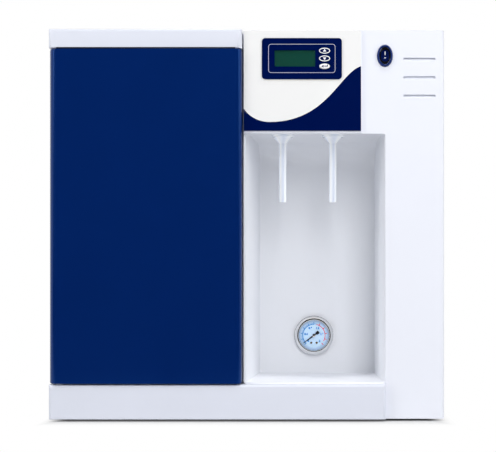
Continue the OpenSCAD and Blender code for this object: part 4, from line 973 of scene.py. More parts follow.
@dataclass
class ControlPanel(SubAssembly):
    """The panel with its printed film, the display and three keys.

    Attributes:
        print_t: thickness of printed ink.
        film_edge: rounding of the film's edges.
        film_corner: how far the film's corners reach along its edges.
        film_grow: how far the film reaches beyond its node at the sides and below.
        film_rise: how far it reaches beyond its node at the top.
        sweep: knots and handles of the two-colour print's edge, from the film's lower left corner.
        sweep_steps: steps along each stretch of that edge.
        pane_gap: air between the pane and the display.
        pane_r: edge radius of the pane.
        line_inset: distance from the bezel's edges to its pale line, left, right, below and above.
        line_w: width of the pale line.
        line_r: corner radius of the pale line.
        keys: node, body and sign of each key: 1 for up, -1 for down, 0 for set.
        key_trim: how much smaller than its node a dark key is, all round.
        light_trim: how much smaller the white key is, all round.
        key_foot: rungs at a key's back, with heights from the back.
        key_dome: rungs at its front, with heights from the front.
        key_crown: how far the foot of the dome lies behind the front.
        key_rim: rungs of the white rim, with heights from the foot of the dome.
        sign_sink: how deep the signs start in the dome.
        sign_reach: radius of an arrow sign.
        bent_half: half length of the bent arrow on the white key.
        bent_tip: radius of its head and height of its hook.
        bent_tail: how far its bar reaches left of the key's middle.
        bent_bar: half thickness of its bar.
    """

    soft: SoftNodes = (
        ("control_panel", PANEL, 0.4 * MM),
        ("display_bezel", NAVY, 0.4 * MM),
        ("lcd_module", LCD, 0.2 * MM),
        ("control_board", BOARD, 0.2 * MM),
    )
    print_t: float = 0.05 * MM
    film_edge: float = 0.08 * MM
    film_corner: float = 2.0 * MM
    film_grow: float = 1.1 * MM
    film_rise: float = 2.1 * MM
    sweep: tuple[Point, ...] = in_mm(
        (0.0, 26.3), (6.1, 17.7), (16.6, 10.7), (31.1, 10.7), (99.1, 10.7), (114.6, 70.1), (142.0, 77.0),
    )
    sweep_steps: int = 28
    pane_gap: float = 0.1 * MM
    pane_r: float = 0.15 * MM
    line_inset: tuple[float, float, float, float] = (7.6 * MM, 7.7 * MM, 7.3 * MM, 7.0 * MM)
    line_w: float = 0.6 * MM
    line_r: float = 3.4 * MM
    keys: tuple[tuple[str, str, int], ...] = (
        ("key_up", "up_key", 1), ("key_down", "down_key", -1), ("key_set", "set_key", 0),
    )
    key_trim: float = 0.05 * MM
    light_trim: float = 0.45 * MM
    key_foot: tuple[Point, ...] = in_mm((0.3, 0.0), (0.0, 0.2))
    key_dome: tuple[Point, ...] = in_mm((0.0, -0.65), (0.1, -0.45), (0.35, -0.35), (1.2, -0.07), (2.2, 0.0))
    key_crown: float = 0.35 * MM
    key_rim: tuple[Point, ...] = in_mm((0.1, -0.15), (0.05, 0.05), (0.3, 0.12), (1.5, 0.3), (1.55, -0.1))
    sign_sink: float = 0.02 * MM
    sign_reach: float = 2.3 * MM
    bent_half: float = 3.91 * MM
    bent_tip: float = 1.84 * MM
    bent_tail: float = 0.46 * MM
    bent_bar: float = 0.5 * MM

    def make(self) -> None:
        """Build the film, the prints, the pane and the keys."""
        self.build_film()
        self.build_window()
        self.print_sweep()
        self.print_line()
        for node, body, way in self.keys:
            self.build_key(node, body, way)

    def build_film(self) -> None:
        """Set down the film with its outline grown nearly to the panel's edges."""
        low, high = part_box("panel_film")
        film = soften("panel_film", FILM, self.film_edge)
        corner, grow = self.film_corner, self.film_grow
        push(film, (-grow, 0.0, 0.0), lambda v: v.co.x < low.x + corner)
        push(film, (grow, 0.0, 0.0), lambda v: v.co.x > high.x - corner)
        push(film, (0.0, 0.0, -grow), lambda v: v.co.z < low.z + corner)
        push(film, (0.0, 0.0, self.film_rise), lambda v: v.co.z > high.z - corner)

    def build_window(self) -> None:
        """Build the pane over the display, a hair in front of it."""
        low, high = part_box("lcd_window")
        pane = Workpiece()
        pane.soft_block(low, high - Vector((0.0, self.pane_gap, 0.0)), self.pane_r)
        pane.set_down("lcd_pane", "cabinet", CLEAR, ["lcd_window"])

    def print_sweep(self) -> None:
        """Print the lower part of the film navy, up to a sweeping edge."""
        low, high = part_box("panel_film")
        grow = self.film_grow
        width = high.x - low.x + 2 * grow
        knots = [Vector((min(x, width), z, 0.0)) for x, z in self.sweep]
        places = [*knots[::3], Vector((width, 0.0, 0.0)), Vector((0.0, 0.0, 0.0))]
        curve = bpy.data.curves.new("film_sweep", "CURVE")
        curve.dimensions = "2D"
        curve.fill_mode = "BOTH"
        curve.resolution_u = self.sweep_steps
        curve.extrude = self.print_t / 2
        line = curve.splines.new("BEZIER")
        line.use_cyclic_u = True
        line.bezier_points.add(len(places) - 1)
        for point, place in zip(line.bezier_points, places):
            point.co = place
            point.handle_left_type = point.handle_right_type = "VECTOR"
        for point, handle in zip(line.bezier_points, knots[1::3]):
            point.handle_right_type = "FREE"
            point.handle_right = handle
        for point, handle in zip(line.bezier_points[1:], knots[2::3]):
            point.handle_left_type = "FREE"
            point.handle_left = handle
        piece = Workpiece()
        piece.take(curve, Matrix.Translation((low.x - grow, low.y - self.print_t / 2, low.z - grow)))
        piece.set_down("film_sweep", "cabinet", INK_NAVY)

    def print_line(self) -> None:
        """Print the pale line round display and keys."""
        low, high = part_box("display_bezel")
        left, right, below, above = self.line_inset
        piece = Workpiece()
        face = piece.sheet(
            (low.x + left, low.z + below), (high.x - right, high.z - above), low.y, self.line_r,
        )
        piece.band(face, self.line_w, self.print_t)
        piece.set_down("display_line", "cabinet", INK_PALE)

    def build_key(self, node: str, body: str, way: int) -> None:
        """Build one domed oval key with its print.

        Args:
            node: node that the key stands for.
            body: body that carries it.
            way: 1 for up, -1 for down, 0 for set.
        """
        low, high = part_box(node)
        trim = self.key_trim if way else self.light_trim
        cap = Workpiece()
        rungs = [*self.key_foot, *shifted(self.key_dome, (0.0, high.y - low.y))]
        cap.dome(self.key_face(cap, node, trim, high.y), rungs)
        cap.set_down(f"{node}_cap", body, NAVY if way else INK_WHITE, [node])
        spot = middle(node)
        spot.y = low.y + self.sign_sink
        self.print_sign(f"{node}_sign", body, way, spot)
        if way:
            rim = Workpiece()
            rim.dome(self.key_face(rim, node, trim, low.y + self.key_crown), self.key_rim, closed=False)
            rim.set_down(f"{node}_rim", body, INK_WHITE)

    def key_face(self, piece: Workpiece, node: str, trim: float, y: float) -> Faces:
        """Add the oval front face of a key, a little smaller, at a place along Y.

        Args:
            piece: the piece that gets it, still empty.
            node: node of the key.
            trim: how much smaller the face is, all round.
            y: place of the face.

        Returns:
            The face, in a list.
        """
        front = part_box(node)[0].y
        piece.copy(node)
        bm = piece.bm
        behind = [v for v in bm.verts if v.co.y > front + NEAR]
        bmesh.ops.delete(bm, geom=behind, context="VERTS")
        face = bmesh.ops.dissolve_faces(bm, faces=bm.faces[:])["region"]
        bmesh.ops.translate(bm, vec=(0.0, y - front, 0.0), verts=bm.verts)
        centre = middle(node)
        half = [max(abs(v.co[i] - centre[i]) for v in bm.verts) for i in (0, 2)]
        share = [(h - trim) / h for h in half]
        bmesh.ops.scale(bm, vec=(share[0], 1.0, share[1]), space=Matrix.Translation(-centre), verts=bm.verts)
        return face

    def print_sign(self, name: str, body: str, way: int, spot: Vector) -> None:
        """Print a key's sign.

        Args:
            name: name of the print.
            body: body that carries it.
            way: 1 for up, -1 for down, 0 for the bent arrow.
            spot: middle of the sign.
        """
        sign = Workpiece()
        if way:
            place = Matrix.Translation(spot) @ Matrix.Diagonal((1.0, 1.0, way, 1.0))
            sign.thicken(sign.disc(place, self.sign_reach, 3), self.print_t)
            sign.set_down(name, body, INK_WHITE)
            return
        head = Matrix.Translation(spot - Vector((self.bent_half - self.bent_tip, 0.0, 0.0)))
        sign.thicken(sign.disc(head @ Matrix.Rotation(-math.pi / 2, 4, "Y"), self.bent_tip, 3), self.print_t)
        end, bar = spot.x + self.bent_half, self.bent_bar
        for low, high in (
            ((spot.x - self.bent_tail, spot.z - bar), (end, spot.z + bar)),
            ((end - 2 * bar, spot.z + bar), (end, spot.z + self.bent_tip)),
        ):
            sign.thicken(sign.sheet(low, high, spot.y), self.print_t)
        sign.set_down(name, body, INK_NAVY)


@dataclass
class PowerSwitch(SubAssembly):
    """The oval rocker switch in its domed bezel.

    Attributes:
        oval_steps: faces round the oval.
        bezel_steps: rungs across the bezel.
        bezel_crest: share of the bezel's width at which it is highest.
        bezel_round: power of the rise to the crest, fuller below 1.
        bezel_dip: share of the height that it loses from the crest to its inner edge.
        rest_tilt: tilt of the rocker at rest.
        rocker_front: distance from the rocker's axis to its foremost edges.
        rocker_dip: how far its middle lies behind them.
        rocker_half: half of its height.
        on_mark: lower left and upper right corner of the mark for on, from the axis.
        off_mark: the same for off.
        mark_r: corner radius of the marks.
        mark_t: thickness of the marks.
    """

    soft: SoftNodes = (
        ("switch_frame", BLACK, 0.25 * MM),
        ("switch_rocker", ROCKER_BLUE, 0.3 * MM),
    )
    oval_steps: int = 64
    bezel_steps: int = 10
    bezel_crest: float = 0.68
    bezel_round: float = 0.8
    bezel_dip: float = 0.25
    rest_tilt: float = math.radians(8.0)
    rocker_front: float = 3.6 * MM
    rocker_dip: float = 0.9 * MM
    rocker_half: float = 7.3 * MM
    on_mark: tuple[Point, Point] = in_mm((-0.5, 0.8), (0.5, 5.2))
    off_mark: tuple[Point, Point] = in_mm((-0.9, -3.0), (0.9, -2.0))
    mark_r: float = 0.3 * MM
    mark_t: float = 0.06 * MM

    def make(self) -> None:
        """Build the bezel and print the marks."""
        self.build_bezel()
        self.print_marks()

    def build_bezel(self) -> None:
        """Build the bezel as one rounded ring."""
        low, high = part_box("switch_bezel")
        hole_low, hole_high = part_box("switch_frame")
        half = (high - low) / 2
        width = half.x - (hole_high.x - hole_low.x) / 2
        crest = self.bezel_crest
        rungs = [(0.0, 0.0)]
        for i in range(1, self.bezel_steps + 1):
            share = i / self.bezel_steps
            rise = math.sin(math.pi / 2 * min(1.0, share / crest)) ** self.bezel_round
            if share > crest:
                rise -= self.bezel_dip * ((share - crest) / (1 - crest)) ** 2
            rungs.append((width * share, (high.y - low.y) * rise))
        rungs.append((width, 0.0))
        centre = middle("switch_bezel")
        centre.y = high.y
        ring = Workpiece()
        place = Matrix.Translation(centre) @ Matrix.Diagonal((half.x, 1.0, half.z, 1.0))
        ring.dome(ring.disc(place, 1.0, self.oval_steps), rungs, closed=False)
        ring.set_down("switch_bezel_dome", "cabinet", SWITCH_BLUE, ["switch_bezel"])

    def print_marks(self) -> None:
        """Print the line for on and the dash for off on the rocker's two halves."""
        pivot = Vector(joint("rocker_tilt")["pos_m"])
        slope = math.atan2(self.rocker_dip, self.rocker_half)
        y = pivot.y - self.rocker_front + self.rocker_dip
        marks = Workpiece()
        for mark, turn in ((self.on_mark, 2 * slope), (self.off_mark, -slope)):
            low, high = shifted(mark, (pivot.x, pivot.z))
            marks.thicken(marks.sheet(low, high, y, self.mark_r), self.mark_t)
            marks.turn(turn, "X", (pivot.x, y, pivot.z))
        marks.turn(self.rest_tilt, "X", pivot)
        marks.set_down("rocker_marks", "rocker", INK_WHITE)


@dataclass
class DispensingNiche(SubAssembly):
    """The moulded liner of the niche, with drafted walls and a cove under its ceiling.

    Attributes:
        wall: thickness of the liner.
        wing: width of its wing behind the column.
        draft_left: how far the left wall leans in, from front to back.
        draft_right: how far the right wall leans in.
        cove: radius under the ceiling.
        cove_steps: faces round the cove.
        corner_r: radius of the other inner edges.
        corner_steps: faces round these edges.
        corner_turn: least turn of an edge that is rounded.
        lip_h: height of the lip under the control panel.
        lip_depth: depth of the lip.
        lip_r: edge radius of the lip.
        lip_steps: faces round its edges.
    """

    wall: float = 2.0 * MM
    wing: float = 5.0 * MM
    draft_left: float = 12.0 * MM
    draft_right: float = 2.5 * MM
    cove: float = 35.0 * MM
    cove_steps: int = 14
    corner_r: float = 1.6 * MM
    corner_steps: int = 5
    corner_turn: float = math.radians(50)
    lip_h: float = 2.4 * MM
    lip_depth: float = 5.0 * MM
    lip_r: float = 0.6 * MM
    lip_steps: int = 3

    def make(self) -> None:
        """Build the liner and its lip."""
        low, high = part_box("niche_liner")
        front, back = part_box("right_column_cover")[0].y + TRIM_WALL, high.y - self.wall
        left, right = low.x + self.wall, high.x - self.wing
        ceiling = high.z - self.wall
        shell = Workpiece()
        verts = shell.block((left, front, low.z + self.wall), (right, back, ceiling))
        for vert in verts:
            if vert.co.y > (front + back) / 2:
                vert.co.x += self.draft_left if vert.co.x < (left + right) / 2 else -self.draft_right
        mouth = [f for f in shell.bm.faces if all(v.co.y < front + NEAR for v in f.verts)]
        bmesh.ops.delete(shell.bm, geom=mouth, context="FACES_ONLY")
        self.round_back(shell, back, ceiling)
        bmesh.ops.recalc_face_normals(shell.bm, faces=shell.bm.faces)
        bmesh.ops.solidify(shell.bm, geom=shell.bm.faces[:], thickness=-self.wall)
        # The liner wears the brightened white, painted light that lifts the recess out of its shade.
        shell.set_down("niche_shell", "cabinet", NICHE_BRIGHTENED, ["niche_liner"])
        self.build_lip()

    def round_back(self, shell: Workpiece, back: float, ceiling: float) -> None:
        """Round the inner edges, the one under the ceiling at the back most.

        Args:
            shell: the liner in the making.
            back: place of the back wall.
            ceiling: height of the ceiling.
        """
        def at(vert: bmesh.types.BMVert) -> bool:
            """Tell whether a vertex lies in the back wall and the ceiling."""
            return max(abs(vert.co.y - back), abs(vert.co.z - ceiling)) < NEAR

        shell.round([e for e in shell.bm.edges if all(at(v) for v in e.verts)], self.cove, self.cove_steps)
        inner = [
            e for e in shell.bm.edges
            if len(e.link_faces) == 2 and e.calc_face_angle(0.0) > self.corner_turn
        ]
        shell.round(inner, self.corner_r, self.corner_steps)

    def build_lip(self) -> None:
        """Build the lip that closes the gap under the control panel."""
        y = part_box("niche_liner")[0].y
        low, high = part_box("control_panel")
        lip = Workpiece()
        lip.soft_block((low.x, y, low.z - self.lip_h), (high.x, y + self.lip_depth, low.z), self.lip_r,
                       self.lip_steps)
        lip.set_down("niche_lip", "cabinet", PANEL)


@dataclass
class Spouts(SubAssembly):
    """The two translucent spouts, turned with their flange and cone.

    Attributes:
        tube_r: outer radius of the tube.
        bore_r: radius of the bore.
        mouth_h: height of the rounding at the mouth.
        mouth_in: width of that rounding.
        flange_r: radius of the flange.
        flange_t: thickness of the flange.
        flange_edge: rounding of the flange, from its radius and its lower face.
        cone_r: radius of the cone under the flange.
        cone_h: height of the cone.
        flare: curve from tube to cone, from the tube's wall and the cone's foot.
        flare_steps: points along that curve.
        shank_r: radius of the shank above the niche's ceiling.
        shank_h: height of the shank.
    """

    soft: SoftNodes = (("spout_nuts", FILTER_WHITE, 0.4 * MM),)
    tube_r: float = 4.5 * MM
    bore_r: float = 3.2 * MM
    mouth_h: float = 0.5 * MM
    mouth_in: float = 0.3 * MM
    flange_r: float = 13.2 * MM
    flange_t: float = 2.5 * MM
    flange_edge: tuple[Point, ...] = in_mm((-0.5, 0.0), (-0.1, 0.2), (0.0, 0.6))
    cone_r: float = 10.5 * MM
    cone_h: float = 8.6 * MM
    flare: tuple[Point, ...] = in_mm((0.0, -1.0), (0.0, 0.3), (0.3, 0.7), (1.4, 2.0))
    flare_steps: int = 12
    shank_r: float = 6.0 * MM
    shank_h: float = 15.0 * MM

    def make(self) -> None:
        """Turn both spouts."""
        for node in ("left_spout", "right_spout"):
            self.build_spout(node)

    def build_spout(self, node: str) -> None:
        """Turn one spout.

        Args:
            node: node that it stands for.
        """
        low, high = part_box(node)
        centre = middle(node)
        top = high.z - low.z
        ceiling = top - self.shank_h
        flange = ceiling - self.flange_t
        profile = [
            (self.bore_r, top), (self.bore_r, self.mouth_h), (self.bore_r + self.mouth_in, 0.0),
            (self.tube_r - self.mouth_in, 0.0), (self.tube_r, self.mouth_h),
            *bend(shifted(self.flare, (self.tube_r, flange - self.cone_h)), self.flare_steps),
            (self.cone_r, flange), *shifted(self.flange_edge, (self.flange_r, flange)),
            (self.flange_r, ceiling), (self.shank_r, ceiling), (self.shank_r, top), (self.bore_r, top),
        ]
        piece = Workpiece()
        piece.turned(profile, (centre.x, centre.y, low.z), UP)
        finish = replace(SPOUT, axis=(centre.x, centre.y), look=node)
        piece.set_down(f"{node}_turned", "cabinet", finish, [node])


@dataclass
class PressureGauge(SubAssembly):
    """The panel gauge on the back wall: bezel, glass, dial, pointer and two small screws.

    Attributes:
        glass_play: air round the glass.
        lip_w: how far the bezel's lip reaches over the glass.
        foot: the bezel's lower edge, from its outer radius and its back.
        shoulder: curve of its shoulder, from its outer radius and its front.
        crest: start of the curve inside its crest and that curve's handle, from the same.
        roll: end of that curve at the lip, with its handle first, from the lip's radius and the front.
        shoulder_steps: points along the shoulder.
        roll_steps: points along the curve inside the crest.
        shade_ring: outer edge of the black ring of painted shade round the bezel's foot, from the bezel's
            outer radius and its back.
        round_steps: faces round bezel and shade ring.
        sweep: whole sweep of the scale, in degrees.
        scale_top: reading at the end of the scale.
        numbers: readings that are printed as numbers.
        number_r: radius at which the numbers stand.
        number_h: height of the numbers.
        number_bold: how much bolder than the font they are.
        arc_r: radius of the scale's arcs.
        arc_w: width of the arcs.
        arc_steps: faces along an arc.
        blue_arc: readings between which the blue arc runs.
        red_arc: readings between which the red arc runs.
        ticks: number of steps between ticks.
        major_every: steps from one long tick to the next.
        major: width and length of a long tick.
        minor: width and length of a short tick.
        print_t: thickness of arcs and numbers.
        tick_t: thickness of ticks.
        reach: length of the pointer from its axis.
        hand_t: thickness of the pointer.
        hand_edge: rounding of its edges.
        blade_half: half width of the blade at the axis.
        tip_share: width of its tip as a share of that.
        tail: half width and length of the bar behind the axis.
        paddle: half width of the paddle, and where it starts and ends behind the axis.
        paddle_r: corner radius of the paddle.
        spindle_r: radius of the pointer's spindle.
        hub: profile of the hub cap.
        hub_steps: faces round the hub cap.
        small_steps: faces round spindle and screws.
        screw_head: profile of a dial screw, as shares of its radius and its height.
        slot_half: half length and half width of its slot, as shares of its radius.
        slot_depth: depth and thickness of its slot, as shares of its height.
    """

    soft: SoftNodes = (
        ("gauge_glass", GLASS, 0.1 * MM),
        ("gauge_case", ZINC, 0.3 * MM),
        ("gauge_ring_nut", ZINC, 0.3 * MM),
    )
    glass_play: float = 0.2 * MM
    lip_w: float = 2.0 * MM
    foot: tuple[Point, ...] = in_mm((-0.4, 0.85), (-0.1, 1.0), (0.0, 1.4))
    shoulder: tuple[Point, ...] = in_mm((0.0, -3.4), (0.0, -1.6), (-0.6, -1.3), (-3.4, 0.0))
    crest: tuple[Point, ...] = in_mm((-4.5, 0.0), (-5.1, 0.0))
    roll: tuple[Point, ...] = in_mm((0.2, -0.6), (0.0, -1.5))
    shoulder_steps: int = 12
    roll_steps: int = 8
    shade_ring: tuple[Point, ...] = in_mm((0.2, 0.0), (0.2, 0.5), (0.0, 0.8))
    round_steps: int = 96
    sweep: float = 270.0
    scale_top: float = 2.0
    numbers: tuple[float, ...] = (0.0, 0.4, 0.8, 1.2, 1.6, 2.0)
    number_r: float = 10.6 * MM
    number_h: float = 3.7 * MM
    number_bold: float = 0.25 * MM
    arc_r: float = 14.2 * MM
    arc_w: float = 0.9 * MM
    arc_steps: int = 40
    blue_arc: Point = (0.0, 1.0)
    red_arc: Point = (1.1, 1.9)
    ticks: int = 50
    major_every: int = 5
    major: Point = (0.9 * MM, 3.3 * MM)
    minor: Point = (0.5 * MM, 2.3 * MM)
    print_t: float = 0.04 * MM
    tick_t: float = 0.052 * MM
    reach: float = 17.5 * MM
    hand_t: float = 0.6 * MM
    hand_edge: float = 0.08 * MM
    blade_half: float = 1.2 * MM
    tip_share: float = 0.25
    tail: Point = (1.0 * MM, 4.5 * MM)
    paddle: tuple[float, float, float] = (2.1 * MM, 4.0 * MM, 8.0 * MM)
    paddle_r: float = 0.5 * MM
    spindle_r: float = 1.2 * MM
    hub: tuple[Point, ...] = in_mm((2.3, 0.0), (2.3, 0.12), (1.9, 0.3), (1.0, 0.42), (0.0, 0.45))
    hub_steps: int = 32
    small_steps: int = 24
    screw_head: tuple[Point, ...] = ((1.0, 0.0), (1.0, 0.5), (0.8, 0.85), (0.0, 0.9))
    slot_half: Point = (0.75, 0.16)
    slot_depth: Point = (0.15, 0.1)

    @cached_property
    def axis(self) -> Vector:
        """Give a point on the gauge's axis."""
        return middle("gauge_bezel")

    def make(self) -> None:
        """Build bezel, dial, prints, pointer and screws."""
        self.build_bezel()
        soften("gauge_dial", replace(DIAL, axis=(self.axis.x, self.axis.z)), 0.0)
        self.print_scale()
        self.build_pointer()
        self.build_screws()

    def angle(self, reading: float) -> float:
        """Give the angle of a reading, clockwise from the top, in radians."""
        return math.radians(self.sweep * (reading / self.scale_top - 0.5))

    def at(self, radius: float, angle: float, y: float) -> Vector:
        """Give a point of the dial."""
        return Vector((self.axis.x + radius * math.sin(angle), y, self.axis.z + radius * math.cos(angle)))

    def build_bezel(self) -> None:
        """Turn the polished bezel with its round shoulder and its rolled lip, and a black ring of painted
        shade round its foot.
        """
        low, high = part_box("gauge_bezel")
        glass_low, glass_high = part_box("gauge_glass")
        outer, depth = (high.x - low.x) / 2, high.y - low.y
        bore = (glass_high.x - glass_low.x) / 2 + self.glass_play
        lip, seat = bore - self.lip_w, high.y - glass_low.y
        start = (bore, self.foot[0][1])
        inside = shifted(self.crest, (outer, depth)) + shifted(self.roll, (lip, depth))
        bezel = [
            start, *shifted(self.foot, (outer, 0.0)),
            *bend(shifted(self.shoulder, (outer, depth)), self.shoulder_steps),
            *bend(inside, self.roll_steps), (lip, seat), (bore, seat), start,
        ]
        # A black ring round the bezel's foot paints the shade where the bezel meets the wall.
        shade_ring = [
            (bore, 0.0), *shifted(self.shade_ring, (outer, 0.0)), (bore, self.shade_ring[-1][1]), (bore, 0.0),
        ]
        for name, finish, profile, nodes in (
            ("gauge_bezel_turned", POLISHED, bezel, ["gauge_bezel"]),
            ("gauge_shade_ring", BLACK, shade_ring, []),
        ):
            ring = Workpiece()
            ring.turned(profile, (self.axis.x, high.y, self.axis.z), FRONT, self.round_steps)
            ring.set_down(name, "cabinet", finish, nodes)

    def print_scale(self) -> None:
        """Print arcs, ticks and plain numbers on the dial."""
        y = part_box("gauge_dial")[0].y
        blue, red = Workpiece(), Workpiece()
        self.add_arc(blue, self.blue_arc, y)
        self.add_arc(red, self.red_arc, y)
        for i in range(self.ticks + 1):
            reading = self.scale_top * i / self.ticks
            in_red = reading >= self.red_arc[0]
            if i % self.major_every == 0:
                self.add_tick(red if in_red else blue, reading, self.major, y)
            elif not in_red:
                self.add_tick(blue, reading, self.minor, y)
        for reading in self.numbers:
            self.add_number(blue, reading, y)
        blue.set_down("dial_blue_print", "cabinet", INK_BLUE)
        red.set_down("dial_red_print", "cabinet", INK_RED)

    def add_arc(self, piece: Workpiece, readings: Point, y: float) -> None:
        """Add a band of the scale.

        Args:
            piece: the print that gets it.
            readings: where it starts and ends.
            y: place of the dial's face.
        """
        first, last = (self.angle(reading) for reading in readings)
        ends = [piece.bm.verts.new(self.at(r, first, y)) for r in (self.arc_r, self.arc_r + self.arc_w)]
        before = set(piece.bm.faces)
        bmesh.ops.spin(
            piece.bm, geom=ends + [piece.bm.edges.new(ends)], cent=(self.axis.x, y, self.axis.z), axis=-FRONT,
            angle=last - first, steps=self.arc_steps,
        )
        piece.thicken([f for f in piece.bm.faces if f not in before], self.print_t)

    def add_tick(self, piece: Workpiece, reading: float, size: Point, y: float) -> None:
        """Add one tick that stands outwards from the arc.

        Args:
            piece: the print that gets it.
            reading: its place on the scale.
            size: its width and length.
            y: place of the dial's face.
        """
        width, length = size
        foot = self.axis.z + self.arc_r
        faces = piece.sheet((self.axis.x - width / 2, foot), (self.axis.x + width / 2, foot + length), y)
        bmesh.ops.rotate(
            piece.bm, cent=(self.axis.x, y, self.axis.z), matrix=Matrix.Rotation(self.angle(reading), 3, "Y"),
            verts=faces[0].verts[:],
        )
        piece.thicken(faces, self.tick_t)

    def add_number(self, piece: Workpiece, reading: float, y: float) -> None:
        """Add a plain number.

        Args:
            piece: the print that gets it.
            reading: the number, which is its place on the scale too.
            y: place of the dial's face.
        """
        curve = bpy.data.curves.new("number", "FONT")
        curve.body = f"{reading:g}"
        curve.size = self.number_h
        curve.align_x = "CENTER"
        curve.align_y = "CENTER"
        curve.offset = self.number_bold
        piece.take(curve, Matrix.Translation(self.at(self.number_r, self.angle(reading), y - self.print_t)))

    def build_pointer(self) -> None:
        """Build the pointer, a tapered blade with a paddle, and set a light hub cap on it."""
        low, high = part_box("gauge_pointer")
        x, z = self.axis.x, self.axis.z
        back = low.y + self.hand_t
        hand = Workpiece()
        faces = hand.sheet((x - self.blade_half, z), (x + self.blade_half, z + self.reach), back)
        tip = [v for v in faces[0].verts if v.co.z > z + self.reach / 2]
        bmesh.ops.scale(
            hand.bm, vec=(self.tip_share, 1.0, 1.0), space=Matrix.Translation((-x, 0.0, 0.0)), verts=tip,
        )
        half, length = self.tail
        faces += hand.sheet((x - half, z - length), (x + half, z), back)
        half, start, end = self.paddle
        faces += hand.sheet((x - half, z - end), (x + half, z - start), back, self.paddle_r)
        for face in faces:
            hand.thicken([face], self.hand_t)
        rest = math.radians(joint("gauge_sweep")["range_deg"][0])
        hand.turn(self.angle(0.0) - rest, "Y", (x, back, z))
        length = high.y - back
        spindle = [(0.0, 0.0), (self.spindle_r, 0.0), (self.spindle_r, length), (0.0, length)]
        hand.turned(spindle, (x, high.y, z), FRONT, self.small_steps)
        hand.set_down("pointer_hand", "pointer", POINTER, ["gauge_pointer"], self.hand_edge)
        hub = Workpiece()
        hub.turned(self.hub, (x, low.y, z), FRONT, self.hub_steps)
        hub.set_down("pointer_hub", "pointer", POLISHED)

    def build_screws(self) -> None:
        """Turn the two small brass screws, each with a black bar that paints the shade of its slot."""
        low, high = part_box("dial_screws")
        z = middle("dial_screws").z
        radius, depth = (high.z - low.z) / 2, high.y - low.y
        profile = [(radius * r, depth * rise) for r, rise in self.screw_head]
        half, slit = (radius * share for share in self.slot_half)
        sink, thickness = (depth * share for share in self.slot_depth)
        screws, slots = Workpiece(), Workpiece()
        for x in (low.x + radius, high.x - radius):
            screws.turned(profile, (x, high.y, z), FRONT, self.small_steps)
            slots.thicken(slots.sheet((x - half, z - slit), (x + half, z + slit), low.y + sink), thickness)
        screws.set_down("dial_screw_heads", "cabinet", BRASS, ["dial_screws"])
        # The black bars are painted shade standing for the screws' slots.
        slots.set_down("dial_screw_slot_shades", "cabinet", POINTER)


@dataclass
class FilterBay(SubAssembly):
    """What stands behind the door: cartridges, membrane, polishing column and tubes."""

    soft: SoftNodes = (
        ("filter_bracket", ZINC, 0.3 * MM),
        ("filter_heads", FILTER_BLUE, 0.5 * MM),
        ("sediment_cartridge", FILTER_WHITE, 0.5 * MM),
        ("carbon_cartridge", FILTER_WHITE, 0.5 * MM),
        ("softener_cartridge", FILTER_WHITE, 0.5 * MM),
        ("membrane_housing", FILTER_WHITE, 0.5 * MM),
        ("membrane_cap", FILTER_BLUE, 0.4 * MM),
        ("membrane_clips", BLACK, 0.3 * MM),
        ("polishing_column", RESIN, 0.5 * MM),
        ("column_strap", BLACK, 0.3 * MM),
        ("water_tubes", NATURAL, 0.3 * MM),
    )


@dataclass
class PumpBay(SubAssembly):
    """What stands behind the niche and the rear panel's fittings."""

    soft: SoftNodes = (
        ("pump_mount", ZINC, 0.3 * MM),
        ("pump_head", BLACK, 0.5 * MM),
        ("pump_motor", MOTOR, 0.5 * MM),
        ("power_supply", ZINC, 0.4 * MM),
        ("dispense_valves", FILTER_WHITE, 0.4 * MM),
        ("rear_ports", FILTER_WHITE, 0.3 * MM),
        ("port_collets", FILTER_BLUE, 0.2 * MM),
        ("port_nuts", FILTER_WHITE, 0.3 * MM),
        ("power_inlet", BLACK, 0.3 * MM),
    )


# Studio


@dataclass(frozen=True)
class Lamp:
    """A soft lamp.

    Attributes:
        name: its name.
        place: where it hangs.
        target: what it faces.
        size: width and height of its face.
        power: its power in watts.
        in_gloss: whether gloss shows it.
    """

    name: str
    place: Place
    target: Place
    size: Point
    power: float
    in_gloss: bool = True

    def hang(self) -> None:
        """Hang the lamp."""
        light = bpy.data.lights.new(self.name, "AREA")
        light.shape = "RECTANGLE"
        light.size, light.size_y = self.size
        light.energy = self.power
        lamp = bpy.data.objects.new(self.name, light)
        lamp.location = self.place
        lamp.visible_glossy = self.in_gloss
        lamp.rotation_euler = (Vector(self.target) - Vector(self.place)).to_track_quat("-Z", "Y").to_euler()
        bpy.context.scene.collection.objects.link(lamp)


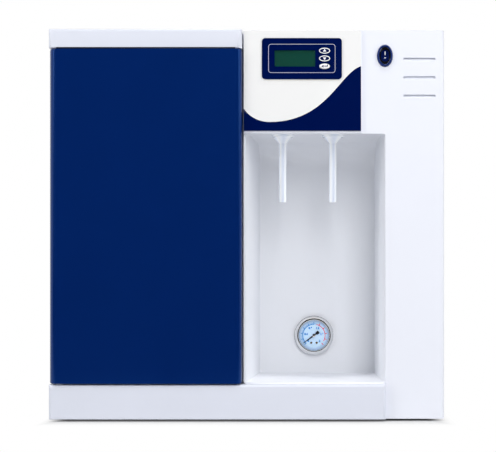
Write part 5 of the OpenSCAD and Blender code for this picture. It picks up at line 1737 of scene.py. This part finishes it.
@dataclass
class Studio:
    """A plain pale floor, a white surround and soft lamps.

    Attributes:
        sky: colour of the surround's light.
        ambient: strength of the surround's light.
        floor_half: half width of the floor.
        floor_grey: how pale the floor is.
        white_from: distance outside the object, along X and Y, where the floor starts to look white.
        white_to: distance where it is all white.
        lamps: the lamps.
        flag_half: half width and half height of the dark card that only gloss sees.
        flag_place: middle of the card.
        flag_lean: how far it leans.
        flag_grey: how pale it is.
    """

    sky: Colour = (0.95, 0.97, 1.0)
    ambient: float = 0.16
    floor_half: float = 8.0
    floor_grey: float = 0.62
    white_from: Point = (-0.020, -0.030)
    white_to: Point = (0.012, 0.035)
    lamps: tuple[Lamp, ...] = (
        Lamp("key", (0.5, -2.8, 1.55), (0.05, 0.0, 0.22), (0.8, 1.8), 34.0, in_gloss=False),
        Lamp("left", (-2.2, -1.6, 1.35), (0.0, 0.0, 0.22), (1.0, 2.0), 30.0),
        Lamp("right", (2.3, -1.6, 1.35), (0.0, 0.0, 0.22), (1.0, 2.0), 29.5),
        Lamp("top", (0.1, -1.25, 3.6), (0.05, 0.0, 0.2), (1.4, 1.0), 40.0),
        Lamp("back", (0.3, 2.8, 1.6), (0.0, 0.0, 0.22), (1.6, 1.2), 44.0),
    )
    flag_half: Point = (2.4, 3.0)
    flag_place: Place = (0.0, -2.63, 2.2)
    flag_lean: float = math.radians(-47.3)
    flag_grey: float = 0.01

    def build(self) -> None:
        """Set the studio up."""
        bpy.context.scene.view_settings.view_transform = "Standard"
        self.build_world()
        self.build_floor()
        self.build_flag()
        for lamp in self.lamps:
            lamp.hang()

    @staticmethod
    def seen(wiring: Wiring) -> Socket:
        """Give 1 for rays that show a surface to the camera, directly or in gloss and glass.

        Args:
            wiring: wiring of the material or the surround.

        Returns:
            The socket with 1 or 0.
        """
        path = wiring.add("LightPath").outputs
        in_gloss = wiring.sum("MAXIMUM", path["Is Camera Ray"], path["Is Glossy Ray"])
        return wiring.sum("MAXIMUM", in_gloss, path["Is Transmission Ray"])

    @staticmethod
    def card(name: str, place: Matrix, grey: float) -> tuple[bpy.types.Object, Wiring, Socket]:
        """Set a matt card up on the stage.

        Args:
            name: its name.
            place: where it goes, from a square of 2 m by 2 m that lies at the origin.
            grey: how pale it is.

        Returns:
            The card, the wiring of its material and its matt surface.
        """
        bm = bmesh.new()
        bmesh.ops.create_grid(bm, x_segments=1, y_segments=1, size=1.0, matrix=place)
        mesh = bpy.data.meshes.new(name)
        bm.to_mesh(mesh)
        bm.free()
        card = bpy.data.objects.new(name, mesh)
        bpy.context.scene.collection.objects.link(card)
        material = bpy.data.materials.new(name)
        material.use_nodes = True
        mesh.materials.append(material)
        wiring = Wiring(material.node_tree)
        return card, wiring, wiring.add("BsdfDiffuse", {"Color": (grey, grey, grey, 1.0)}).outputs["BSDF"]

    def build_world(self) -> None:
        """Make the surround white to the eye and soft as a light."""
        world = bpy.data.worlds.new("surround")
        world.use_nodes = True
        wiring = Wiring(world.node_tree)
        soft = wiring.add("Background", {"Color": (*self.sky, 1.0), "Strength": self.ambient})
        white = wiring.add("Background", {"Color": (1.0, 1.0, 1.0, 1.0)})
        mixed = wiring.blend(self.seen(wiring), soft.outputs["Background"], white.outputs["Background"])
        wiring.show(mixed, "OutputWorld")
        bpy.context.scene.world = world

    def build_floor(self) -> None:
        """Lay the floor, white to the eye but for the object's shadow."""
        place = Matrix.Diagonal((self.floor_half, self.floor_half, 1.0, 1.0))
        _, wiring, matt = self.card("floor", place, self.floor_grey)
        share = wiring.sum("MULTIPLY", self.seen(wiring), self.far(wiring))
        wiring.show(wiring.blend(share, matt, wiring.add("Emission").outputs["Emission"]))

    def far(self, wiring: Wiring) -> Socket:
        """Give how white the floor is to the eye, all white away from the object.

        Args:
            wiring: wiring of the floor's material.

        Returns:
            The socket with the share of white.
        """
        parts = wiring.add("SeparateXYZ")
        wiring.join(wiring.place(), parts.inputs["Vector"])
        white = []
        for place, low, high, start, end in zip(parts.outputs, *CAD_BOX, self.white_from, self.white_to):
            off = wiring.sum("ABSOLUTE", wiring.sum("SUBTRACT", place, (low + high) / 2))
            away = wiring.sum("SUBTRACT", off, (high - low) / 2)
            white.append(wiring.span(away, 0.0, 1.0, start, end, "SMOOTHSTEP"))
        return wiring.sum("MAXIMUM", *white)

    def build_flag(self) -> None:
        """Lean a dark card before the front that only gloss sees, like the dark side of a studio."""
        place = Matrix.Translation(self.flag_place) @ Matrix.Rotation(self.flag_lean, 4, "X")
        place = place @ Matrix.Diagonal((*self.flag_half, 1.0, 1.0))
        flag, wiring, matt = self.card("flag", place, self.flag_grey)
        wiring.show(matt)
        flag.visible_camera = flag.visible_diffuse = flag.visible_transmission = False
        flag.visible_shadow = flag.visible_volume_scatter = False


@dataclass(frozen=True)
class Camera:
    """The camera, straight on to the front.

    Attributes:
        place: where it stands.
        lens: its focal length, in millimetres.
        sensor: width of its sensor, in millimetres.
        shift: how far its frame is shifted, in frame widths.
        sight: how far it sees, in metres.
    """

    place: Place = (0.0603, -1.533, 0.1612)
    lens: float = 82.5
    sensor: float = 36.0
    shift: Point = (-0.1008, 0.121)
    sight: float = 50.0

    def build(self) -> None:
        """Stand the camera up."""
        data = bpy.data.cameras.new("camera")
        data.lens = self.lens
        data.sensor_width = self.sensor
        data.sensor_fit = "HORIZONTAL"
        data.shift_x, data.shift_y = self.shift
        data.clip_end = self.sight
        camera = bpy.data.objects.new("camera", data)
        camera.location = self.place
        camera.rotation_euler = (math.pi / 2, 0.0, 0.0)
        bpy.context.scene.collection.objects.link(camera)
        bpy.context.scene.camera = camera


def main() -> None:
    """Build everything in order."""
    logging.basicConfig(level=logging.INFO, format="%(name)s: %(message)s")
    parts = (
        Camera(), Studio(), Cabinet(), Door(), ControlPanel(), PowerSwitch(), DispensingNiche(),
        Spouts(), PressureGauge(), FilterBay(), PumpBay(),
    )
    for part in parts:
        part.build()
        LOG.info("built %s", type(part).__name__)
    bpy.context.view_layer.update()


if __name__ == "__main__":
    main()
